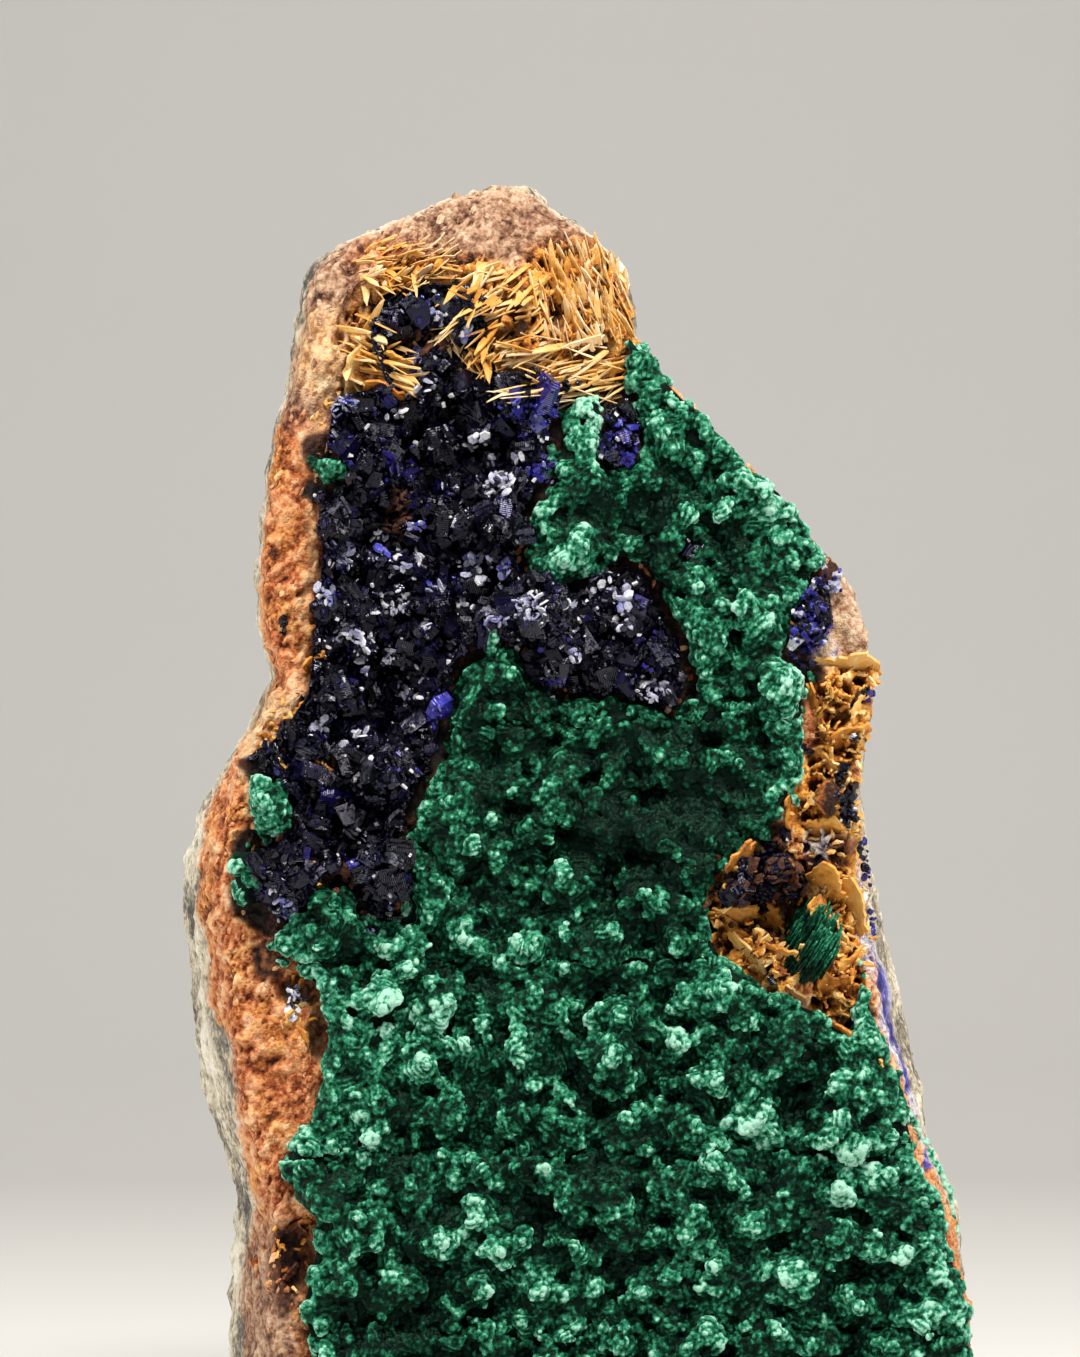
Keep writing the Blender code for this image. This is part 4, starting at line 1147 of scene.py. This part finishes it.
def wall(seed, columns, rows):
    """A thin crumpled sheet about one long in X and one high in Z, with a broken outline."""
    bm = bmesh.new()
    bmesh.ops.create_grid(bm, x_segments=columns, y_segments=rows, size=0.5)
    bmesh.ops.rotate(bm, verts=bm.verts, cent=(0, 0, 0), matrix=Matrix.Rotation(1.571, 3, "X"))
    for vert in bm.verts:
        narrowed = 1.0 - abs(vert.co.x - 0.3 * math.sin(2.0 * seed))
        vert.co.z *= narrowed + 0.3 * noise.noise(Vector((9.0 * vert.co.x, 1.7 * seed, 0.0)))
        vert.co.x *= 1.0 + 0.4 * noise.noise(Vector((2.1 * seed, 9.0 * vert.co.z, 5.0)))
        vert.co.y += 0.12 * noise.noise(vert.co * 2.3 + Vector((seed, 3.0, 0.0)))
        vert.co += 0.06 * noise.noise_vector(vert.co * 8.0 + Vector((seed, 7.0, 0.0)))
    bmesh.ops.solidify(bm, geom=bm.faces[:], thickness=0.13)
    return template(bm)


blades = [blade(seed) for seed in range(8)]
walls = [wall(seed, 3, 2) for seed in range(7)]
plates = [wall(20 + seed, 12, 7) for seed in range(9)]
print("triangles:", len(blades[0][1]), len(walls[0][1]), len(plates[0][1]))

# %% Blade material
# Bladed limonite: harder and a little waxy, ochre where it is thick and straw at thin edges.
bladed_limonite = new_material("bladed_limonite", Roughness=0.6, Specular_IOR_Level=0.25)
coordinates = add(bladed_limonite, "TexCoord", output="Object")
tone = add(bladed_limonite, "Attribute", output="Fac", attribute_name="tone")
tint = add(bladed_limonite, "Attribute", output="Fac", attribute_name="tint")
streaks = add(bladed_limonite, "TexNoise", {"Vector": coordinates, "Scale": 0.5 / (0.6 * MM),
                                            "Detail": 3.0, "Roughness": 0.7})
patches = add(bladed_limonite, "TexNoise", {"Vector": coordinates, "Scale": 0.5 / (2.5 * MM),
                                            "Detail": 2.0})
level = -0.67
for part, weight in ((tone, 0.25), (patches, 0.6), (streaks, 0.7), (tint, 1.0)):
    level = add(bladed_limonite, "Math", {0: part, 1: weight, 2: level},
                operation="MULTIPLY_ADD")
straw = add(bladed_limonite, "ValToRGB", {"Fac": level}, stops=(
    (0.0, "#140704"), (0.2, "#55260b"), (0.4, "#ad6a26"), (0.58, "#d0943f"),
    (0.78, "#d8ae6a"), (1.0, "#e0cba4")))
bump = add(bladed_limonite, "Bump", {"Height": streaks, "Strength": 0.4, "Distance": 0.3 * MM})
feed(bladed_limonite, Base_Color=straw, Normal=bump)
print("made", bladed_limonite.name)

# %% [markdown]
# ### Sheaves
# The blades grow in sheaves, and all the blades of a sheaf point much the same way. Each row
# gives a sheaf's oval, its heading across the front, how far it leans out, the spread of its
# blades, their shortest and longest length, the width of the widest and how pale they are.

# %% Setting the blades
SHEAVES = (
    # centre x, z, radius x, z; heading x, z; outward; spread; length; widest; paleness
    ((1, 183.5, 8.5, 8.5), (-0.25, 1), 0.3, 0.22, (3, 5.5), 0.9, 0.66),
    ((-12.5, 181.5, 9, 7), (-0.7, -0.5), 0.4, 0.35, (4, 7), 1.1, 0.6),
    ((-1.5, 172, 10, 5.5), (-0.9, -0.2), 0.35, 0.25, (5, 9), 1.1, 0.74),
    ((-30, 175, 6, 7), (0.8, -0.35), 0.5, 0.35, (4, 8), 1.3, 0.6),
    ((-25, 189, 8, 4.5), (0.8, 0.3), 0.2, 0.3, (2, 4.5), 0.9, 0.64),
    ((-28, 184.8, 4.5, 2.8), (0.7, -0.6), 0.4, 0.35, (2.5, 4.5), 0.9, 0.62),
    ((-17, 174.5, 6, 4), (0.3, -0.8), 0.6, 0.5, (3, 6), 0.9, 0.5),
)
BLADES_BACK = -0.011  # in mm: no blade grows behind the middle of the rock's thickness
rng = random.Random(97)
set_blades = []
for oval, heading, outward, spread, lengths, widest, paleness in SHEAVES:
    cx, cz, rx, rz = oval
    for px, pz in lattice((cx - rx, cz - rz, cx + rx, cz + rz), 0.75 + 0.55 * widest, 0.45, rng):
        hit = met(px, pz, OUTER)
        if in_ovals(px, pz, (oval,)) < 0.05 or hit is None or hit[0] in GREENS:
            continue
        if in_ovals(px, pz, CAVITIES) > 0.0 or hit[1].y > BLADES_BACK:
            continue
        if hit[0] != "rock" and in_ovals(px, pz, TOP_CLUSTERS) > -0.15:
            continue
        way = Vector((heading[0] + rng.gauss(0.0, spread), -outward * rng.uniform(0.6, 1.3),
                      heading[1] + rng.gauss(0.0, spread))).normalized()
        length, width = rng.uniform(*lengths), 0.35 + (widest - 0.35) * rng.random() ** 1.2
        basis = frame_of(way, rng.uniform(-0.8, 0.8))
        set_blades.append((rng.randrange(len(blades)), scaled(basis, width, width, length),
                           hit[1] - 0.42 * length * way,
                           paleness + 0.3 * wave(px, 0.0, pz, 5.0) + rng.gauss(0.0, 0.06)))
put_copies("limonite_blades", blades, set_blades, bladed_limonite)

# %% [markdown]
# ### Walls
# A few large plates give the boxwork, the pocket and the vug's left rim their look, so each is
# set one by one. Small walls of every slope fill in between them, and stand for the chips along
# the rim.

# %% Setting the walls
PLATES = (
    # x, z, length, width, slope in degrees, paleness
    (39.9, 127.4, 9.4, 2.6, -4, 0.82), (43, 122, 6, 1.6, 78, 0.7),
    (35, 121.5, 6.5, 1.6, -75, 0.62), (41, 117.6, 6, 1.5, 25, 0.6),
    (38.6, 112.3, 6.5, 1.1, -52, 0.82), (33, 108.5, 7.5, 1.8, 84, 0.55),
    (36.6, 106, 6, 2.2, -34, 0.62), (36.5, 103.6, 5, 2, -18, 0.66),
    (24.5, 99.4, 4.8, 1.5, 54, 0.6), (19.6, 96.2, 4.6, 2.4, 80, 0.5),
    (23.6, 90.6, 6.6, 1.7, 9, 0.68), (28.6, 90.2, 3.6, 2, -50, 0.66),
    (24.9, 85.3, 7, 1.3, -52, 0.85), (29.8, 84.4, 6.6, 2.3, -38, 0.6),
    (31, 79.4, 5.5, 1.2, -28, 0.75), (27, 94.8, 4, 1.2, 35, 0.3),
    (31.4, 97, 4.5, 1.4, -60, 0.25), (29, 93, 3.5, 1.2, 70, 0.35),
    (36.8, 95, 6, 3.2, -42, 0.7), (40.9, 92, 8.5, 2, -66, 0.8),
    (37.8, 88.8, 5, 1.4, -50, 0.72), (38.4, 84.2, 5, 1.6, 58, 0.6),
    (41.3, 84, 5, 1.4, 48, 0.72), (38.6, 80, 4.4, 3, 20, 0.55),
    (35.8, 91.5, 4, 1.2, 85, 0.66), (38.5, 73.5, 4, 1.6, -50, 0.5),
    (44, 68, 4, 1.5, -60, 0.62), (-33, 172, 7, 2, 70, 0.84),
    (-42.5, 118.5, 4, 1.2, -60, 0.85), (-40.6, 121.5, 4.5, 1.2, 50, 0.6),
    (-44.8, 113.5, 3, 0.8, -50, 0.8), (-46.3, 116.5, 3, 1, -60, 0.45),
    (-38.9, 128.5, 4, 1.2, 45, 0.55), (-38.2, 112.6, 3.4, 1, -30, 0.5),
    (-41.2, 76.2, 3.4, 1.6, 60, 0.85), (-42, 73.6, 4, 1.2, -50, 0.6),
    (-41.5, 44.8, 4, 0.7, 20, 0.35), (-42.2, 38, 3, 0.7, 50, 0.25),
    (36.6, 131, 5, 1, 60, 0.85), (31.6, 132, 5, 1.6, -65, 0.6),
    (-27, 172.6, 7, 2.2, -14, 0.72), (-29, 168.6, 6, 2, -8, 0.5),
)
# Where the rim of the vug has broken into small chips.
CHIPPED_EDGES = ((-43.5, 117, 3.5, 7), (-41, 79.5, 3.2, 7), (-36.5, 97, 4, 4),
                 (-42, 42, 3, 7), (-37.5, 164, 2.5, 8))
rng = random.Random(53)
set_plates, set_walls = [], []
for px, pz, length, width, slope, paleness in PLATES:
    hit = met(px, pz, SURFACES)
    ahead = Vector((math.cos(math.radians(slope)), rng.uniform(-0.2, 0.2),
                    math.sin(math.radians(slope)))).normalized()
    out = (Vector((0.0, -1.0, 0.0)) + 0.7 * ahead.cross(Vector((0.0, 1.0, 0.0)))).normalized()
    basis = Matrix((ahead, out.cross(ahead), out)).transposed()
    set_plates.append((rng.randrange(len(plates)), scaled(basis, 1.1 * length, 3.5, 3.4 * width),
                       hit[1] + Vector((0.0, 1.0, 0.0)), paleness - 0.28))
for px, pz in lattice((-48.0, 30.0, 48.0, 180.0), 2.5, 0.45, rng):
    hit = met(px, pz, SURFACES)
    if in_ovals(px, pz, BOXWORK_ZONES + CHIPPED_EDGES) < 0.05 or hit is None or hit[0] in GREENS:
        continue
    way = Vector((rng.uniform(-1.0, 1.0), -1.0, rng.uniform(-1.0, 1.0)))
    length, width = rng.uniform(1.0, 2.2), rng.uniform(0.7, 1.5)
    # Walls inside the dark zones are painted darker: painted shade.
    dim = 0.35 if in_ovals(px, pz, DARK_ZONES) > 0.0 else 0.0
    set_walls.append((rng.randrange(len(walls)),
                      scaled(frame_of(way, rng.uniform(0.0, 6.3)), length, 2.5, width),
                      hit[1] + Vector((0.0, 0.7, 0.0)), rng.uniform(0.35, 0.65) - dim))
put_copies("limonite_boxwork", walls, set_walls, bladed_limonite)
put_copies("limonite_plates", plates, set_plates, bladed_limonite)

# %% [markdown]
# ### Green fibres
# Deep in the pocket the malachite didn't grow as lumps. Its fibres lie side by side and
# keep the emerald colour of a clean crystal. They are copies of the same blades, set close
# enough to overlap.

# %% Green fibres
FIBRE_PATCH = (34.6, 86.6, 3.6, 4.6)
cx, cz, rx, rz = FIBRE_PATCH
fibres = []
for px, pz in lattice((cx - rx, cz - rz, cx + rx, cz + rz), 0.62, 0.4, rng):
    if in_ovals(px, pz, (FIBRE_PATCH,)) > 0.0:
        way = Vector((rng.gauss(0.5, 0.05), rng.uniform(-0.12, 0.0), rng.gauss(0.8, 0.05)))
        width, length = rng.uniform(0.5, 0.9), rng.uniform(3.0, 5.0)
        shape = scaled(frame_of(way, rng.uniform(-0.5, 0.5)), width, width, length)
        fibres.append((rng.randrange(len(blades)), shape,
                       met(px, pz, SURFACES)[1] - 0.4 * length * way.normalized(), 0.5))
fibre_mesh = put_copies("malachite_fibres", blades, fibres, malachite, True)
set_values(fibre_mesh, tone=0.35 + 0.3 * values_of(fibre_mesh, "tone"))


# %% [markdown]
# ## Flakes on the rim
# A broken rim sheds flakes. Thin chips that lie along the grain of the rock give its surface
# the broken edge that noise on a skin can't. The vug's few bare patches get brown ones.


# %% Flakes
def flake(seed):
    """A lump with a radius of about 1, pulled out of round; each copy is pressed flat."""
    bm = bmesh.new()
    bmesh.ops.create_icosphere(bm, subdivisions=1, radius=1.0)
    for vert in bm.verts:
        vert.co *= 1.0 + 0.6 * noise.noise(vert.co * 1.3 + Vector((3.0 * seed, 0.0, 0.0)))
    return template(bm)


FLAKE_SLOPE = 58.0  # degrees from level, along the grain of the rim
flakes = [flake(seed) for seed in range(8)]
rng = random.Random(19)
crumbs, brown_crumbs = [], []
for px, pz in lattice((-62.0, 2.5, 62.0, 201.0), 1.15, 0.45, rng):
    bare = in_ovals(px, pz, BARE_PATCHES) > -0.1 and rng.random() < (0.3 if px > 0.0 else 1.0)
    hit = met(px, pz, OUTER)
    if hit is None or (hit[0] != "rock" and not bare) or (rng.random() < 0.45 and not bare):
        continue
    level = min(int(pz / EDGE_STEP), len(left_edge) - 4)
    if px < left_edge[level] + np.interp(pz, *zip(*LEFT_SKIN)) + 1.5:
        continue
    if px > right_edge[level] - np.interp(pz, *zip(*RIGHT_SKIN)) - 1.0:
        continue
    if wave(px, 0.0, pz, 14.0) + 0.3 < rng.random() and not bare:
        continue
    if in_ovals(px, pz, BLADE_ZONES + BOXWORK_ZONES + DARK_ZONES) > -0.2 and not bare:
        continue
    along = Vector((math.cos(math.radians(rng.gauss(FLAKE_SLOPE, 22.0))), 0.0, 0.0))
    along.z = math.sqrt(1.0 - along.x**2)
    normal = hit[2].normalized()
    across = normal.cross(along).normalized()
    basis = Matrix((across.cross(normal), across, normal)).transposed()
    basis = basis @ Matrix.Rotation(rng.gauss(0.0, 0.35), 3, "Y") @ Matrix.Rotation(
        rng.gauss(0.0, 0.35), 3, "X")
    size = rng.uniform(0.35, 0.8) if bare else rng.uniform(0.25, 0.6)
    entry = (rng.randrange(len(flakes)),
             scaled(basis, size * rng.uniform(1.2, 2.4), size, size * rng.uniform(0.3, 0.6)),
             hit[1], rng.random())
    (brown_crumbs if bare else crumbs).append(entry)
flake_mesh = put_copies("rim_flakes", flakes, crumbs, limonite)
set_values(flake_mesh, hollow=0.15 + 0.6 * values_of(flake_mesh, "tint"),
           tan=soft_step(points_of(flake_mesh)[:, 2] / MM, 160.0, 175.0))
brown_mesh = put_copies("vug_flakes", flakes, brown_crumbs, limonite)
set_values(brown_mesh, hollow=np.full(len(brown_mesh.vertices), 0.6),
           russet=np.full(len(brown_mesh.vertices), 1.0))

# %% [markdown]
# ## The stage and the light
# A pale floor runs up into a backdrop. The key is a soft square light high in front, a little
# to the right, so that every lump and crystal throws its own small shadow. A narrow upright
# light at each side draws the edges of the rock. A very wide one in front fills the shadows,
# and it is weak, so that the crevices stay dark.


# %% Floor
def floor_sheet():
    """A pale sheet that rises behind the specimen in one soft curve."""
    bm = bmesh.new()
    start = bm.verts.new((-2.5, -1.6, 0.0))
    turns = [(-2.5, 0.5, 0.0)]
    turns += [(-2.5, 0.5 + 0.5 * math.sin(a), 0.5 - 0.5 * math.cos(a))
              for a in [math.radians(15.0 * k) for k in range(1, 7)]]
    turns.append((-2.5, 1.0, 2.6))
    line = [start] + [bm.verts.new(co) for co in turns]
    edges = [bm.edges.new(pair) for pair in zip(line, line[1:])]
    drawn = bmesh.ops.extrude_edge_only(bm, edges=edges)["geom"]
    moved = [item for item in drawn if isinstance(item, bmesh.types.BMVert)]
    bmesh.ops.translate(bm, verts=moved, vec=(5.0, 0.0, 0.0))
    bmesh.ops.recalc_face_normals(bm, faces=bm.faces)
    mesh = bpy.data.meshes.new("floor")
    bm.to_mesh(mesh)
    bm.free()
    return mesh


floor_mesh = floor_sheet()
floor_mesh.polygons.foreach_set("use_smooth", np.full(len(floor_mesh.polygons), True))
# Matt paper: it has no gloss, so the light fades softly over it.
floor_mesh.materials.append(
    new_material("matt_paper", Roughness=0.9, Base_Color=linear("#d9d8d4")))
floor = bpy.data.objects.new("floor", floor_mesh)
bpy.context.scene.collection.objects.link(floor)
print("floor:", len(floor_mesh.polygons), "faces")


# %% Lights
def area_light(name, place, aim, size, power, colour):
    """A rectangle of light; place and size are in metres and power in watts."""
    data = bpy.data.lights.new(name, "AREA")
    data.shape = "RECTANGLE"
    data.size, data.size_y = size
    data.energy = power
    data.color = linear(colour)[:3]
    light = bpy.data.objects.new(name, data)
    light.location = place
    light.rotation_euler = (Vector(aim) - Vector(place)).to_track_quat("-Z", "Y").to_euler()
    bpy.context.scene.collection.objects.link(light)


MIDDLE = (0.0, 0.0, 0.1)
area_light("key", (0.10, -0.42, 0.78), MIDDLE, (0.25, 0.25), 10.0, "#fff8f0")
area_light("rim", (-0.60, -0.15, 0.30), MIDDLE, (0.15, 0.60), 3.2, "#ffffff")
area_light("edge", (0.60, -0.20, 0.30), MIDDLE, (0.15, 0.60), 2.8, "#ffffff")
area_light("fill", (-0.35, -0.90, 0.25), MIDDLE, (1.30, 1.30), 1.5, "#eef3ff")
world = bpy.data.worlds.new("studio")
world.use_nodes = True
background = world.node_tree.nodes["Background"]
background.inputs["Color"].default_value = linear("#c9ccd0")
background.inputs["Strength"].default_value = 0.2
bpy.context.scene.world = world
bpy.context.scene.view_settings.view_transform = "Standard"
bpy.context.scene.view_settings.look = "Medium Contrast"
print("lights:", [light.name for light in bpy.data.lights])
